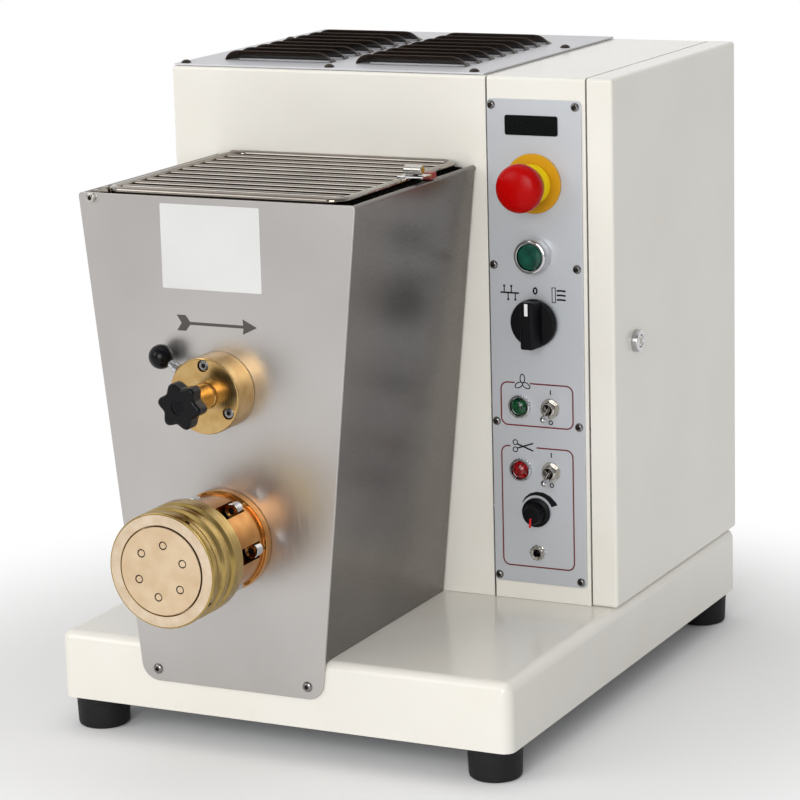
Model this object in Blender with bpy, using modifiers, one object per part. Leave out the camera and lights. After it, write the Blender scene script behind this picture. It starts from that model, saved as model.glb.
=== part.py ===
# Electric pasta maker: a bench-top mixer and extruder.
# A kneading tank with a safety grille stands in front of a steel tower that holds the drive,
# the controls and the electrical compartment. Metres, +Z up, +Y to the back, floor at z = 0.

import math

import bmesh
import bpy
from mathutils import Matrix

# Gaps that every piece shares
GAP = 0.0003                # between two pieces that touch
OVERRUN = 0.002             # how far a cutter runs past the face that it cuts
MERGE = 0.00001             # points closer than this are one point
SHEET = 0.0015              # painted steel sheet
STAINLESS = 0.002           # stainless sheet of the hopper
PANEL_EDGE = 0.003          # bend radius of the painted panels
SEAM = 0.0016               # joint between two tower panels
FACING_SHARE = 0.5          # how squarely a face must look a way to count as facing it
SMOOTH_ANGLE = math.radians(35)

# Base
BASE_WIDTH = 0.410
BASE_DEPTH = 0.508
BASE_HEIGHT = 0.0575
BASE_WALL = 0.003
BASE_EDGE = 0.009
BASE_FIT = 0.001
FOOT_RADIUS = 0.0225
FOOT_TIP_RADIUS = 0.0215
FOOT_HEIGHT = 0.027
FOOT_EDGE = 0.003
FOOT_INSET = 0.0245
FOOT_RECESS_RADIUS = 0.010
FOOT_RECESS_DEPTH = 0.009

# Tower
TOWER_WIDTH = 0.410
TOWER_FRONT_Y = -0.032
TOWER_DEPTH = 0.2845
TOWER_HEIGHT = 0.445
LEFT_SEAM_X = 0.093
RIGHT_SEAM_X = 0.182
VENT_PLATE_INSET = 0.0015
VENT_RIM = 0.014
LOUVRE_LENGTH = 0.104
LOUVRE_DEPTH = 0.021
LOUVRE_HEIGHT = 0.0105
LOUVRE_SHEET = 0.001
LOUVRE_END = 0.008
LOUVRE_PITCH = 0.0246
SLOT_SHARE = 0.55
LOUVRE_ROW_SHARES = {-1: (0.0, 1.0), 0: (0.5, 0.72), 1: (1.0, 0.0)}    # depth and height, front to back
LOUVRE_COUNT = 8
LOUVRE_FIRST_Y = 0.004
LOUVRE_ARRAY_OFFSET = 0.0635
GLAND_RADIUS = 0.0125
GLAND_BORE = 0.006
GLAND_NECK_RADIUS = 0.0065
GLAND_NUT_HEIGHT = 0.010
GLAND_X = 0.137
GLAND_Z = 0.120
REAR_REACH = 0.0245

# Side door, its hinge and its lock
DOOR_PIVOT_X = 0.196
DOOR_PIVOT_Y = 0.2475
HINGE_PIN_RADIUS = 0.0025
HINGE_KNUCKLE_RADIUS = 0.0045
HINGE_KNUCKLE_LENGTH = 0.026
HINGE_LEAF_WIDTH = 0.026
HINGE_INSET = 0.050
COLUMN_LIP = 0.030
LOCK_Y = 0.014
LOCK_Z = 0.3055
LOCK_HEAD_RADIUS = 0.0095
LOCK_HEAD_HEIGHT = 0.0047
LOCK_BARREL_RADIUS = 0.0078
LOCK_BARREL_LENGTH = 0.024
LOCK_CORE_RADIUS = 0.005
LOCK_CAM_LENGTH = 0.029
LOCK_CAM_WIDTH = 0.014
LOCK_CAM_THICKNESS = 0.0025

# Control plate
PLATE_X = 0.136
PLATE_WIDTH = 0.084
PLATE_Z0 = 0.100
PLATE_HEIGHT = 0.411
PLATE_THICKNESS = 0.0015
PLATE_CORNER = 0.004
CONTROL_X = 0.135

# Emergency stop
STOP_Z = 0.4418
STOP_DISC_RADIUS = 0.025
STOP_DISC_THICKNESS = 0.0015
STOP_NECK_RADIUS = 0.0165
STOP_NECK_HEIGHT = 0.016
STOP_BARREL_RADIUS = 0.0108
STOP_STEM_RADIUS = 0.0075
STOP_HEAD_RADIUS = 0.0202
STOP_HEAD_BASE = 0.0235
STOP_HEAD_HEIGHT = 0.0145
STOP_SOCKET_DEPTH = 0.008
STOP_CROWN_RADIUS = 0.0125

# Start button
START_Z = 0.382
BUTTON_BEZEL_RADIUS = 0.0147
BUTTON_BEZEL_HEIGHT = 0.011
BUTTON_WINDOW_RADIUS = 0.0112
BUTTON_STEM_RADIUS = 0.0065
BUTTON_TRAVEL = 0.004
PANEL_HOLE_RADIUS = 0.0112
PANEL_NECK_RADIUS = 0.0108
PANEL_NECK_LENGTH = 0.014

# Selector
SELECTOR_Z = 0.3255
SELECTOR_DISC_RADIUS = 0.0203
SELECTOR_DISC_HEIGHT = 0.0045
SELECTOR_GRIP_LENGTH = 0.040
SELECTOR_GRIP_FACE_WIDTH = 0.011
SELECTOR_GRIP_FOOT_WIDTH = 0.018
SELECTOR_GRIP_HEIGHT = 0.0125
SELECTOR_BEZEL_RADIUS = 0.0165
SELECTOR_BEZEL_HEIGHT = 0.002
SELECTOR_SHAFT_RADIUS = 0.004

# Lamps and toggle switches
FAN_ROW_Z = 0.2530
CUTTER_ROW_Z = 0.1985
LAMP_X = 0.1197
LAMP_BEZEL_RADIUS = 0.010
LAMP_BEZEL_HEIGHT = 0.0035
LAMP_LENS_RADIUS = 0.0076
LAMP_LENS_HEIGHT = 0.006
LAMP_LENS_FACE_RADIUS = 0.004
LAMP_NECK_RADIUS = 0.0085
LAMP_DEPTH = 0.022
TOGGLE_X = 0.1472
TOGGLE_WASHER_RADIUS = 0.0083
TOGGLE_WASHER_HEIGHT = 0.001
TOGGLE_NUT_RADIUS = 0.0073
TOGGLE_NUT_HEIGHT = 0.0035
TOGGLE_BUSH_RADIUS = 0.0059
TOGGLE_BUSH_HEIGHT = 0.008
TOGGLE_BODY_WIDTH = 0.013
TOGGLE_BODY_HEIGHT = 0.027
TOGGLE_BODY_DEPTH = 0.020
TOGGLE_PIVOT_HEIGHT = 0.002
TOGGLE_PIVOT_RADIUS = 0.0019
TOGGLE_ROOT_RADIUS = 0.0013
TOGGLE_LEVER_LENGTH = 0.0145
TOGGLE_BALL_RADIUS = 0.0029
TOGGLE_REST_ANGLE = math.radians(25)
TOGGLE_DROP_SHARES = ((0.7, 0.7), (1.0, 0.0), (0.8, -0.6))    # radius and height on the lever's drop
TOGGLE_WAIST_SHARE = 0.9
TOGGLE_PIVOT_SHARES = (0.8, 0.7)

# Speed knob and socket
SPEED_X = 0.1333
SPEED_Z = 0.1625
SPEED_SKIRT_RADIUS = 0.0125
SPEED_SKIRT_HEIGHT = 0.0035
SPEED_CAP_RADIUS = 0.0098
SPEED_CAP_FACE_RADIUS = 0.0075
SPEED_KNOB_HEIGHT = 0.0125
SPEED_SHAFT_RADIUS = 0.003
SPEED_SHAFT_REACH = 0.010
SPEED_POINTER_ANGLE = math.radians(-174)
SPEED_POINTER_WIDTH = 0.002
SPEED_POINTER_PROUD = 0.0012
SOCKET_X = 0.1338
SOCKET_Z = 0.1274
SOCKET_NUT_RADIUS = 0.0067
SOCKET_NUT_HEIGHT = 0.0035
SOCKET_NUT_SHOULDER = 0.0024
SOCKET_BORE = 0.0033
SOCKET_BARREL_RADIUS = 0.0048
SOCKET_DEPTH = 0.016

# Hopper
AXIS_X = -0.041
HOPPER_TOP_Z = 0.455
HOPPER_TOP_HALF = 0.124
HOPPER_BOTTOM_Z = 0.0525
HOPPER_BOTTOM_HALF = 0.0824
PLATE_BOTTOM_CORNER = 0.015
PLATE_TOP_CORNER = 0.003
HEM_RADIUS = 0.0028
MIXER_Z = 0.302
AUGER_Z = 0.1795
TANK_RADIUS = 0.080
TANK_TOP_Z = 0.448
TANK_END_RISE = 0.0052
TANK_WALL = 0.002
THROAT_WIDTH = 0.036
THROAT_LENGTH = 0.060
THROAT_Y = -0.090
THROAT_WALL = 0.004

# Grille lid
LID_HINGE_X = -0.1526
LID_HINGE_Z = 0.451
LID_ROD_RADIUS = 0.003
LID_BAR_RADIUS = 0.0029
BRACKET_LIFT = 0.0015
LID_LEFT_X = -0.1410
LID_RIGHT_X = 0.0680
LID_LEVEL_Z = 0.4568
LID_BARS = 12
LID_END_GAP = 0.0012
LID_EYE_RADIUS = 0.0055
LID_EYE_THICKNESS = 0.004
LID_PIN_RADIUS = 0.0025
LID_PIN_HEAD_RADIUS = 0.0048
LID_PIN_HEAD_HEIGHT = 0.003
LID_EAR_HALF = 0.006
MAGNET_RADIUS = 0.0045
MAGNET_LENGTH = 0.018
MAGNET_Y = -0.130
BRACKET_WIDTH = 0.018
BRACKET_THICKNESS = 0.002
SENSOR_WIDTH = 0.008
SENSOR_LENGTH = 0.013
SENSOR_HEIGHT = 0.007
SENSOR_Y = -0.114

# Mixer shaft, its front bearing flange and the star knob
SHAFT_RADIUS = 0.010
RUNNING_GAP = 0.0003
MIXER_FLANGE_RADIUS = 0.031
MIXER_FLANGE_DEPTH = 0.0264
MIXER_FLANGE_EDGE = 0.0012
BOSS_RADIUS = 0.0108
BOSS_LENGTH = 0.0262
BOSS_SEAT_DEPTH = 0.004
STUD_RADIUS = 0.004
STUD_REACH = 0.020
STAR_RADIUS = 0.0166
STAR_LOBE_HEIGHT = 0.0024
STAR_LOBES = 6
STAR_THICKNESS = 0.0145
STAR_EDGE = 0.0015
STAR_RECESS_RADIUS = 0.0065
STAR_RECESS_DEPTH = 0.001
FLANGE_SCREW_CIRCLE = 0.0245
FLANGE_COUNTERBORE_RADIUS = 0.0050
FLANGE_COUNTERBORE_DEPTH = 0.0052
PLUNGER_ANGLE = math.radians(150)
PLUNGER_STEM_RADIUS = 0.003
PLUNGER_COLLAR_RADIUS = 0.0046
PLUNGER_COLLAR_LENGTH = 0.0042
PLUNGER_BALL_RADIUS = 0.010
PLUNGER_BALL_DISTANCE = 0.0525
PLUNGER_GUIDE_RADIUS = 0.0055
PLUNGER_GUIDE_HEIGHT = 0.003
PADDLE_REACH = 0.068
PADDLE_WIDTH = 0.030
PADDLE_THICKNESS = 0.006
PADDLE_COUNT = 5
PADDLE_PITCH = 0.036
PADDLE_TWIST = math.radians(35)

# Extruder
BARREL_FLANGE_RADIUS = 0.0415
BARREL_FLANGE_THICKNESS = 0.008
BARREL_RADIUS = 0.0404
BARREL_TUBE_RADIUS = 0.030
BARREL_BORE = 0.024
BARREL_BOLTS = 6
BARREL_BOLT_CIRCLE = 0.0355
BARREL_BOLT_START = math.radians(-2)
BOLT_HEAD_RADIUS = 0.0060
BOLT_HEAD_HEIGHT = 0.008
BOLT_SHANK_RADIUS = 0.0035
BOLT_POCKET_RADIUS = 0.0074
SOCKET_HEX_SHARE = 0.52
SOCKET_DEPTH_SHARE = 0.45
NUT_RADIUS = 0.0465
NUT_DEPTH = 0.0495
NUT_BORE = 0.0408
NUT_LIP_RADIUS = 0.0362
NUT_LIP_DEPTH = 0.007
NUT_GROOVE = 0.0031
NUT_GROOVE_DEPTH = 0.0022
NUT_RIM_SHARES = (0.16, 0.26, 0.34, 0.42, 0.52, 0.60)    # where the two grooves begin and end
EXTRUDER_REACH = 0.1044
DIE_RADIUS = 0.0402
DIE_FACE_RADIUS = 0.0357
DIE_THICKNESS = 0.018
DIE_SKIN = 0.007
DIE_SINK = 0.0012
DIE_HOLLOW_RADIUS = 0.026
DIE_INSERTS = 6
DIE_INSERT_CIRCLE = 0.0212
DIE_INSERT_RADIUS = 0.0042
DIE_INSERT_BORE = 0.0018
DIE_INSERT_DEPTH = 0.0012
DIE_INSERT_START = math.radians(22)
AUGER_CORE_RADIUS = 0.0115
AUGER_FLIGHT_RADIUS = 0.0234
AUGER_FLIGHT_WIDTH = 0.005
AUGER_PITCH = 0.046
AUGER_TURNS = 5
AUGER_TIP = 0.010
AUGER_TIP_RADIUS = 0.0078

# Drive
GEAR_MODULE = 0.0049
ADDENDUM_SHARE = 0.9
DEDENDUM_SHARE = 1.2
MIXER_TEETH = 30
AUGER_TEETH = 20
GEAR_WIDTH = 0.018
GEAR_Y = -0.003
TOOTH_TIP_SHARE = 0.20
TOOTH_ROOT_SHARE = 0.68
GEAR_HUB_LENGTH = 0.008
BEARING_RADIUS = 0.016
BEARING_WIDTH = 0.012
FRAME_THICKNESS = 0.006
FRAME_WIDTH = 0.120
FRAME_TOP_Z = 0.400
FRAME_FOOT = 0.030
GEARBOX_WIDTH = 0.110
GEARBOX_DEPTH = 0.100
GEARBOX_HEIGHT = 0.135
GEARBOX_Y = 0.095
GEARBOX_EDGE = 0.008
MOTOR_RADIUS = 0.060
MOTOR_FIN_HEIGHT = 0.005
MOTOR_FINS = 14
MOTOR_HEIGHT = 0.165
MOTOR_COWL_HEIGHT = 0.040
MOTOR_FLANGE_THICKNESS = 0.010
MOTOR_FLANGE_RADIUS = 0.041
FAN_SIZE = 0.120
FAN_HEIGHT = 0.038
FAN_BORE = 0.056
FAN_HUB_RADIUS = 0.019
FAN_HUB_HEIGHT = 0.008
FAN_STRUT_WIDTH = 0.006
FAN_BLADES = 5
FAN_BLADE_THICKNESS = 0.0016
FAN_BLADE_CHORD = 0.0185
FAN_TIP_GAP = 0.003
FAN_Y = 0.100
FAN_BLADE_TILT = math.radians(35)

# Electrical compartment
TRAY_X = 0.100
TRAY_MARGIN = 0.012
TRAY_FRONT_Y = 0.030
TRAY_HEIGHT = 0.400
TRAY_RETURN = 0.012
DRIVE_DEPTH = 0.060
DRIVE_WIDTH = 0.110
DRIVE_HEIGHT = 0.150
CONTACTOR_DEPTH = 0.058
CONTACTOR_WIDTH = 0.045
CONTACTOR_HEIGHT = 0.075
CONTACTOR_STEP = 0.050
RAIL_DEPTH = 0.0075
RAIL_WIDTH = 0.035
TERMINAL_DEPTH = 0.036
TERMINAL_WIDTH = 0.100
TERMINAL_HEIGHT = 0.045

# Places worked out from the sizes above
BASE_TOP_Z = FOOT_HEIGHT + BASE_HEIGHT
TOWER_Z = BASE_TOP_Z + GAP
TOWER_TOP_Z = BASE_TOP_Z + TOWER_HEIGHT
TOWER_BACK_Y = TOWER_FRONT_Y + TOWER_DEPTH
TOWER_LEFT_X = -TOWER_WIDTH / 2
TOWER_RIGHT_X = TOWER_WIDTH / 2
COLUMN_LEFT_X = LEFT_SEAM_X + SEAM / 2
COLUMN_RIGHT_X = RIGHT_SEAM_X - SEAM / 2
COVER_RIGHT_X = LEFT_SEAM_X - SEAM / 2
DOOR_LEFT_X = RIGHT_SEAM_X + SEAM / 2
BASE_FRONT_Y = -BASE_DEPTH / 2
HOPPER_BACK_Y = BASE_FRONT_Y - GAP
HOPPER_FACE_Y = HOPPER_BACK_Y - STAINLESS
FITTING_Y = HOPPER_FACE_Y - GAP
NUT_FACE_Y = FITTING_Y - EXTRUDER_REACH
PANEL_FACE_Y = TOWER_FRONT_Y - GAP - PLATE_THICKNESS
CONTROL_Y = PANEL_FACE_Y - GAP
VENT_Z = TOWER_TOP_Z + GAP
VENT_CENTRE_X = (TOWER_LEFT_X + COVER_RIGHT_X) / 2

# The part's origin: middle of the whole object's outline, on the floor
REACH_RIGHT_X = TOWER_RIGHT_X + GAP + LOCK_HEAD_HEIGHT
REACH_BACK_Y = TOWER_BACK_Y + REAR_REACH
ORIGIN_X = (REACH_RIGHT_X - BASE_WIDTH / 2) / 2
ORIGIN_Y = (REACH_BACK_Y + NUT_FACE_Y) / 2

# Turns that aim a piece's own +Z at a side of the machine
TO_FRONT = (math.pi / 2, 0, 0)
TO_BACK = (-math.pi / 2, 0, 0)
TO_RIGHT = (0, math.pi / 2, 0)
UPRIGHT = (0, 0, 0)


def clear_scene():
    for item in list(bpy.data.objects):
        bpy.data.objects.remove(item, do_unlink=True)


def collection(name):
    group = bpy.data.collections.new(name)
    bpy.context.scene.collection.children.link(group)
    return group


clear_scene()
PARTS = collection("electric_pasta_maker")
CUTTERS = collection("cutters")
ORIGIN = bpy.data.objects.new("machine_origin", None)
ORIGIN.location = (-ORIGIN_X, -ORIGIN_Y, 0)
PARTS.objects.link(ORIGIN)


# Materials

def material(name, colour, roughness, metallic=0.0):
    made = bpy.data.materials.new(name)
    made.use_nodes = True
    shader = made.node_tree.nodes["Principled BSDF"]
    shader.inputs["Base Color"].default_value = (*colour, 1)
    shader.inputs["Roughness"].default_value = roughness
    shader.inputs["Metallic"].default_value = metallic
    return made


CREAM_PAINT = material("cream_paint", (0.84, 0.82, 0.76), 0.25)
VENT_PAINT = material("pale_vent_paint", (0.78, 0.78, 0.82), 0.3)
BLACK_RUBBER = material("black_rubber", (0.02, 0.02, 0.02), 0.7)
BRUSHED_STEEL = material("brushed_stainless", (0.62, 0.61, 0.60), 0.35, 1.0)
TURNED_STEEL = material("turned_steel", (0.6, 0.6, 0.6), 0.25, 1.0)
SILVER_PLATE = material("silver_plate", (0.55, 0.56, 0.58), 0.45, 0.6)
DARK_SCREW = material("dark_screw", (0.12, 0.11, 0.10), 0.35, 0.8)
CHROME = material("chrome", (0.8, 0.8, 0.8), 0.08, 1.0)
BRASS = material("brass", (0.72, 0.55, 0.28), 0.3, 1.0)
BRONZE = material("bronze", (0.62, 0.38, 0.18), 0.3, 1.0)
BLACK_PLASTIC = material("black_plastic", (0.012, 0.012, 0.016), 0.4)
YELLOW_PLASTIC = material("yellow_plastic", (0.85, 0.55, 0.0), 0.4)
RED_PLASTIC = material("red_plastic", (0.6, 0.0, 0.0), 0.3)
GREEN_LENS = material("green_lens", (0.0, 0.12, 0.06), 0.15)
RED_LENS = material("red_lens", (0.5, 0.0, 0.01), 0.15)
ZINC = material("zinc_plated_steel", (0.55, 0.56, 0.58), 0.4, 1.0)
CAST_IRON = material("grey_cast_iron", (0.2, 0.21, 0.22), 0.6, 0.3)


# Small makers that every sub-part uses

def mesh_of(shape, name):
    mesh = bpy.data.meshes.new(name)
    shape.to_mesh(mesh)
    shape.free()
    return mesh


def shade(mesh, angle=SMOOTH_ANGLE):
    mesh.shade_smooth()
    mesh.set_sharp_from_angle(angle=angle)


def place(name, mesh, finish, at=(0, 0, 0), turn=UPRIGHT):
    item = bpy.data.objects.new(name, mesh)
    item.location = at
    item.rotation_euler = turn
    item.parent = ORIGIN
    if finish is None:
        CUTTERS.objects.link(item)
        item.display_type = "WIRE"
        item.hide_render = True
    else:
        PARTS.objects.link(item)
        mesh.materials.clear()
        mesh.materials.append(finish)
    return item


def block_mesh(name, low, high):
    shape = bmesh.new()
    bmesh.ops.create_cube(shape, size=1)
    size = [b - a for a, b in zip(low, high)]
    centre = [(a + b) / 2 for a, b in zip(low, high)]
    bmesh.ops.scale(shape, vec=size, verts=shape.verts)
    bmesh.ops.translate(shape, vec=centre, verts=shape.verts)
    return mesh_of(shape, name)


def rod_mesh(name, radius, bottom, top, steps=16, tip_radius=None):
    shape = bmesh.new()
    tip = radius if tip_radius is None else tip_radius
    bmesh.ops.create_cone(shape, cap_ends=True, segments=steps, radius1=radius, radius2=tip,
                          depth=top - bottom, matrix=Matrix.Translation((0, 0, (top + bottom) / 2)))
    mesh = mesh_of(shape, name)
    shade(mesh)
    return mesh


def turned(name, profile, finish, at=(0, 0, 0), turn=UPRIGHT, steps=24, ring=False):
    """A profile of (radius, height) points, outer side from the top down, spun about Z."""
    mesh = bpy.data.meshes.new(name)
    count = len(profile)
    edges = [(i, (i + 1) % count) for i in range(count if ring else count - 1)]
    edges = [(a, b) for a, b in edges if profile[a][0] or profile[b][0]]
    mesh.from_pydata([(radius, 0, height) for radius, height in profile], edges, [])
    item = place(name, mesh, finish, at, turn)
    screw = item.modifiers.new("turn", "SCREW")
    screw.steps = steps
    screw.render_steps = steps
    screw.use_merge_vertices = True
    screw.merge_threshold = MERGE
    screw.use_smooth_shade = True
    return item


def outline_mesh(name, loops, thickness):
    """Flat outlines in X and Y, filled and given a thickness about z = 0."""
    curve = bpy.data.curves.new(name, "CURVE")
    curve.dimensions = "2D"
    curve.fill_mode = "BOTH"
    curve.extrude = thickness / 2
    for loop in loops:
        spline = curve.splines.new("POLY")
        spline.points.add(len(loop) - 1)
        for point, (x, y) in zip(spline.points, loop):
            point.co = (x, y, 0, 1)
        spline.use_cyclic_u = True
    return curve_mesh(name, curve)


def curve_mesh(name, curve):
    holder = bpy.data.objects.new(name, curve)
    bpy.context.scene.collection.objects.link(holder)
    graph = bpy.context.evaluated_depsgraph_get()
    mesh = bpy.data.meshes.new_from_object(holder.evaluated_get(graph))
    bpy.data.objects.remove(holder, do_unlink=True)
    shape = bmesh.new()
    shape.from_mesh(mesh)
    bmesh.ops.remove_doubles(shape, verts=shape.verts, dist=MERGE)
    bmesh.ops.recalc_face_normals(shape, faces=shape.faces)
    shape.to_mesh(mesh)
    shape.free()
    shade(mesh)
    return mesh


def wire_mesh(name, points, radius, sides=2):
    curve = bpy.data.curves.new(name, "CURVE")
    curve.dimensions = "3D"
    curve.bevel_depth = radius
    curve.bevel_resolution = sides
    curve.use_fill_caps = True
    spline = curve.splines.new("POLY")
    spline.points.add(len(points) - 1)
    for point, co in zip(spline.points, points):
        point.co = (*co, 1)
    return curve_mesh(name, curve)


def arc(centre_x, centre_y, radius, start, end, steps):
    return [(centre_x + radius * math.cos(start + (end - start) * i / steps),
             centre_y + radius * math.sin(start + (end - start) * i / steps)) for i in range(steps + 1)]


def rounded(corners, radii, steps=4):
    """A polygon, counter-clockwise, whose corners are rounded with one radius each."""
    points = []
    for i, (x, y) in enumerate(corners):
        radius = radii[i]
        if radius == 0:
            points.append((x, y))
            continue
        before = corners[i - 1]
        after = corners[(i + 1) % len(corners)]
        a = math.atan2(before[1] - y, before[0] - x)
        b = math.atan2(after[1] - y, after[0] - x)
        half = abs(math.remainder(a - b, math.tau)) / 2
        middle = b + math.remainder(a - b, math.tau) / 2
        reach = radius / math.sin(half)
        centre_x = x + reach * math.cos(middle)
        centre_y = y + reach * math.sin(middle)
        sweep = math.pi - 2 * half
        start = middle + math.pi - sweep / 2
        points += arc(centre_x, centre_y, radius, start, start + sweep, steps)
    return points


def circle(radius, steps, x=0, y=0, start=0.0):
    return arc(x, y, radius, start, start + math.tau * (steps - 1) / steps, steps - 1)


def rectangle(width, height, x=0, y=0):
    return [(x - width / 2, y - height / 2), (x + width / 2, y - height / 2),
            (x + width / 2, y + height / 2), (x - width / 2, y + height / 2)]


def copies(name, mesh, places):
    """One mesh that holds a copy of the given one at each place."""
    shape = bmesh.new()
    for matrix in places:
        first = len(shape.verts)
        shape.from_mesh(mesh)
        shape.verts.ensure_lookup_table()
        bmesh.ops.transform(shape, matrix=matrix, verts=shape.verts[first:])
    joined = mesh_of(shape, name)
    shade(joined)
    return joined


def baked(item):
    """The evaluated mesh of an object in its own axes; the object itself is removed."""
    graph = bpy.context.evaluated_depsgraph_get()
    mesh = bpy.data.meshes.new_from_object(item.evaluated_get(graph))
    bpy.data.objects.remove(item, do_unlink=True)
    return mesh


def combine(item, tool, operation):
    step = item.modifiers.new(operation.lower(), "BOOLEAN")
    step.operation = operation
    step.object = tool
    return step


def cut(item, mesh, at=(0, 0, 0), turn=UPRIGHT):
    return combine(item, place(item.name + "_cutter", mesh, None, at, turn), "DIFFERENCE")


def fuse(item, mesh, at=(0, 0, 0), turn=UPRIGHT):
    return combine(item, place(item.name + "_joined", mesh, None, at, turn), "UNION")


def soften(item, width, segments=2, angle=math.radians(40)):
    bevel = item.modifiers.new("soften", "BEVEL")
    bevel.width = width
    bevel.segments = segments
    bevel.limit_method = "ANGLE"
    bevel.angle_limit = angle
    return bevel


def thicken(item, wall):
    shell = item.modifiers.new("wall", "SOLIDIFY")
    shell.thickness = wall
    shell.offset = -1
    shell.use_even_offset = True
    return shell


def sheet_box(name, low, high, open_sides, finish, edge=PANEL_EDGE, wall=SHEET):
    """A folded sheet box: a cube without its open sides, bent edges rounded, walled inwards."""
    shape = bmesh.new()
    bmesh.ops.create_cube(shape, size=1)
    size = [b - a for a, b in zip(low, high)]
    centre = [(a + b) / 2 for a, b in zip(low, high)]
    bmesh.ops.scale(shape, vec=size, verts=shape.verts)
    bmesh.ops.translate(shape, vec=centre, verts=shape.verts)
    shape.normal_update()
    gone = [face for face in shape.faces
            if any(face.normal.dot(side) > FACING_SHARE for side in open_sides)]
    bmesh.ops.delete(shape, geom=gone, context="FACES")
    item = place(name, mesh_of(shape, name), finish)
    soften(item, edge)
    thicken(item, wall)
    return item


LEFT, RIGHT = (-1, 0, 0), (1, 0, 0)
BACK = (0, 1, 0)
DOWN = (0, 0, -1)


def spread(x, y, z):
    return Matrix.Translation((x, y, z))


def round_bolt(name, head_radius, head_height, shank_radius, shank_length, finish, steps=12):
    """A socket head screw along Z: its head stands on z = 0, its shank runs down from there."""
    hex_radius = head_radius * SOCKET_HEX_SHARE
    hex_depth = head_height * SOCKET_DEPTH_SHARE
    profile = [(hex_radius, head_height), (head_radius, head_height), (head_radius, 0),
               (shank_radius, 0), (shank_radius, -shank_length), (0, -shank_length),
               (0, head_height - hex_depth), (hex_radius, head_height - hex_depth)]
    return baked(turned(name, profile, finish, steps=steps, ring=True))


# Base

def base_tray():
    shape = bmesh.new()
    bmesh.ops.create_cube(shape, size=1)
    bmesh.ops.scale(shape, vec=(BASE_WIDTH, BASE_DEPTH, BASE_HEIGHT), verts=shape.verts)
    bmesh.ops.bevel(shape, geom=shape.edges[:], offset=BASE_EDGE, segments=3, profile=0.5,
                    affect="EDGES", material=-1)
    shape.normal_update()
    lowest = [f for f in shape.faces if f.normal.z < 0 and len(f.verts) == 4
              and f.calc_area() > BASE_WIDTH * BASE_DEPTH / 2]
    bmesh.ops.delete(shape, geom=lowest, context="FACES")
    mesh = mesh_of(shape, "base_tray")
    shade(mesh)
    tray = place("base_tray", mesh, CREAM_PAINT, at=(0, 0, FOOT_HEIGHT + BASE_HEIGHT / 2))
    thicken(tray, BASE_WALL)


def foot_places():
    x = BASE_WIDTH / 2 - FOOT_INSET
    y = BASE_DEPTH / 2 - FOOT_INSET
    return {"front_left": (-x, -y), "front_right": (x, -y), "rear_left": (-x, y), "rear_right": (x, y)}


def base_bottom_plate():
    width = BASE_WIDTH - 2 * (BASE_EDGE + BASE_FIT)
    depth = BASE_DEPTH - 2 * (BASE_EDGE + BASE_FIT)
    mesh = outline_mesh("base_bottom_plate", [rectangle(width, depth)], SHEET)
    place("base_bottom_plate", mesh, ZINC, at=(0, 0, FOOT_HEIGHT + GAP + SHEET / 2))


def feet():
    top = FOOT_HEIGHT - GAP
    profile = [(0, top), (FOOT_RADIUS, top), (FOOT_TIP_RADIUS, FOOT_EDGE), (FOOT_TIP_RADIUS - FOOT_EDGE, 0),
               (FOOT_RECESS_RADIUS, 0), (FOOT_RECESS_RADIUS, FOOT_RECESS_DEPTH), (0, FOOT_RECESS_DEPTH)]
    for corner, (x, y) in foot_places().items():
        turned("foot_" + corner, profile, BLACK_RUBBER, at=(x, y, 0), steps=16)


# Tower

def shaft_holes(item):
    radius = SHAFT_RADIUS + OVERRUN
    length = OVERRUN + SHEET
    for z in (MIXER_Z, AUGER_Z):
        hole = rod_mesh("shaft_hole", radius, -length, length)
        cut(item, hole, at=(AXIS_X, TOWER_FRONT_Y, z), turn=TO_FRONT)


def main_cover():
    cover = sheet_box("main_cover", (TOWER_LEFT_X, TOWER_FRONT_Y, TOWER_Z),
                      (COVER_RIGHT_X, TOWER_BACK_Y, TOWER_TOP_Z), (RIGHT, DOWN), CREAM_PAINT)
    opening = block_mesh("vent_opening",
                         (TOWER_LEFT_X + VENT_RIM, TOWER_FRONT_Y + VENT_RIM,
                          TOWER_TOP_Z - PANEL_EDGE - OVERRUN),
                         (COVER_RIGHT_X - VENT_RIM, TOWER_BACK_Y - VENT_RIM, TOWER_TOP_Z + OVERRUN))
    cut(cover, opening)
    shaft_holes(cover)


def louvre_places():
    rows = [LOUVRE_FIRST_Y + i * LOUVRE_PITCH for i in range(LOUVRE_COUNT)]
    centres = [VENT_CENTRE_X - LOUVRE_ARRAY_OFFSET, VENT_CENTRE_X + LOUVRE_ARRAY_OFFSET]
    return [(x, y) for x in centres for y in rows]


def louvre_hood():
    """A pressed hood, open to the front, that falls away to the back and to both ends."""
    shape = bmesh.new()
    bmesh.ops.create_grid(shape, x_segments=3, y_segments=2, size=1)
    for vert in shape.verts:
        depth_share, height_share = LOUVRE_ROW_SHARES[round(vert.co.y)]
        outer = abs(vert.co.x) > FACING_SHARE
        end = LOUVRE_LENGTH / 2 if outer else LOUVRE_LENGTH / 2 - LOUVRE_END
        side = -1 if vert.co.x < 0 else 1
        vert.co.x = side * (end - (LOUVRE_END * depth_share if outer else 0))
        vert.co.y = depth_share * LOUVRE_DEPTH
        vert.co.z = 0 if outer else (LOUVRE_HEIGHT - LOUVRE_SHEET) * height_share
    bmesh.ops.remove_doubles(shape, verts=shape.verts, dist=MERGE)
    bmesh.ops.recalc_face_normals(shape, faces=shape.faces)
    if sum(face.normal.z for face in shape.faces) < 0:
        bmesh.ops.reverse_faces(shape, faces=shape.faces)
    hood = place("louvre_hood", mesh_of(shape, "louvre_hood"), VENT_PAINT)
    thicken(hood, LOUVRE_SHEET)
    return baked(hood)


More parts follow.
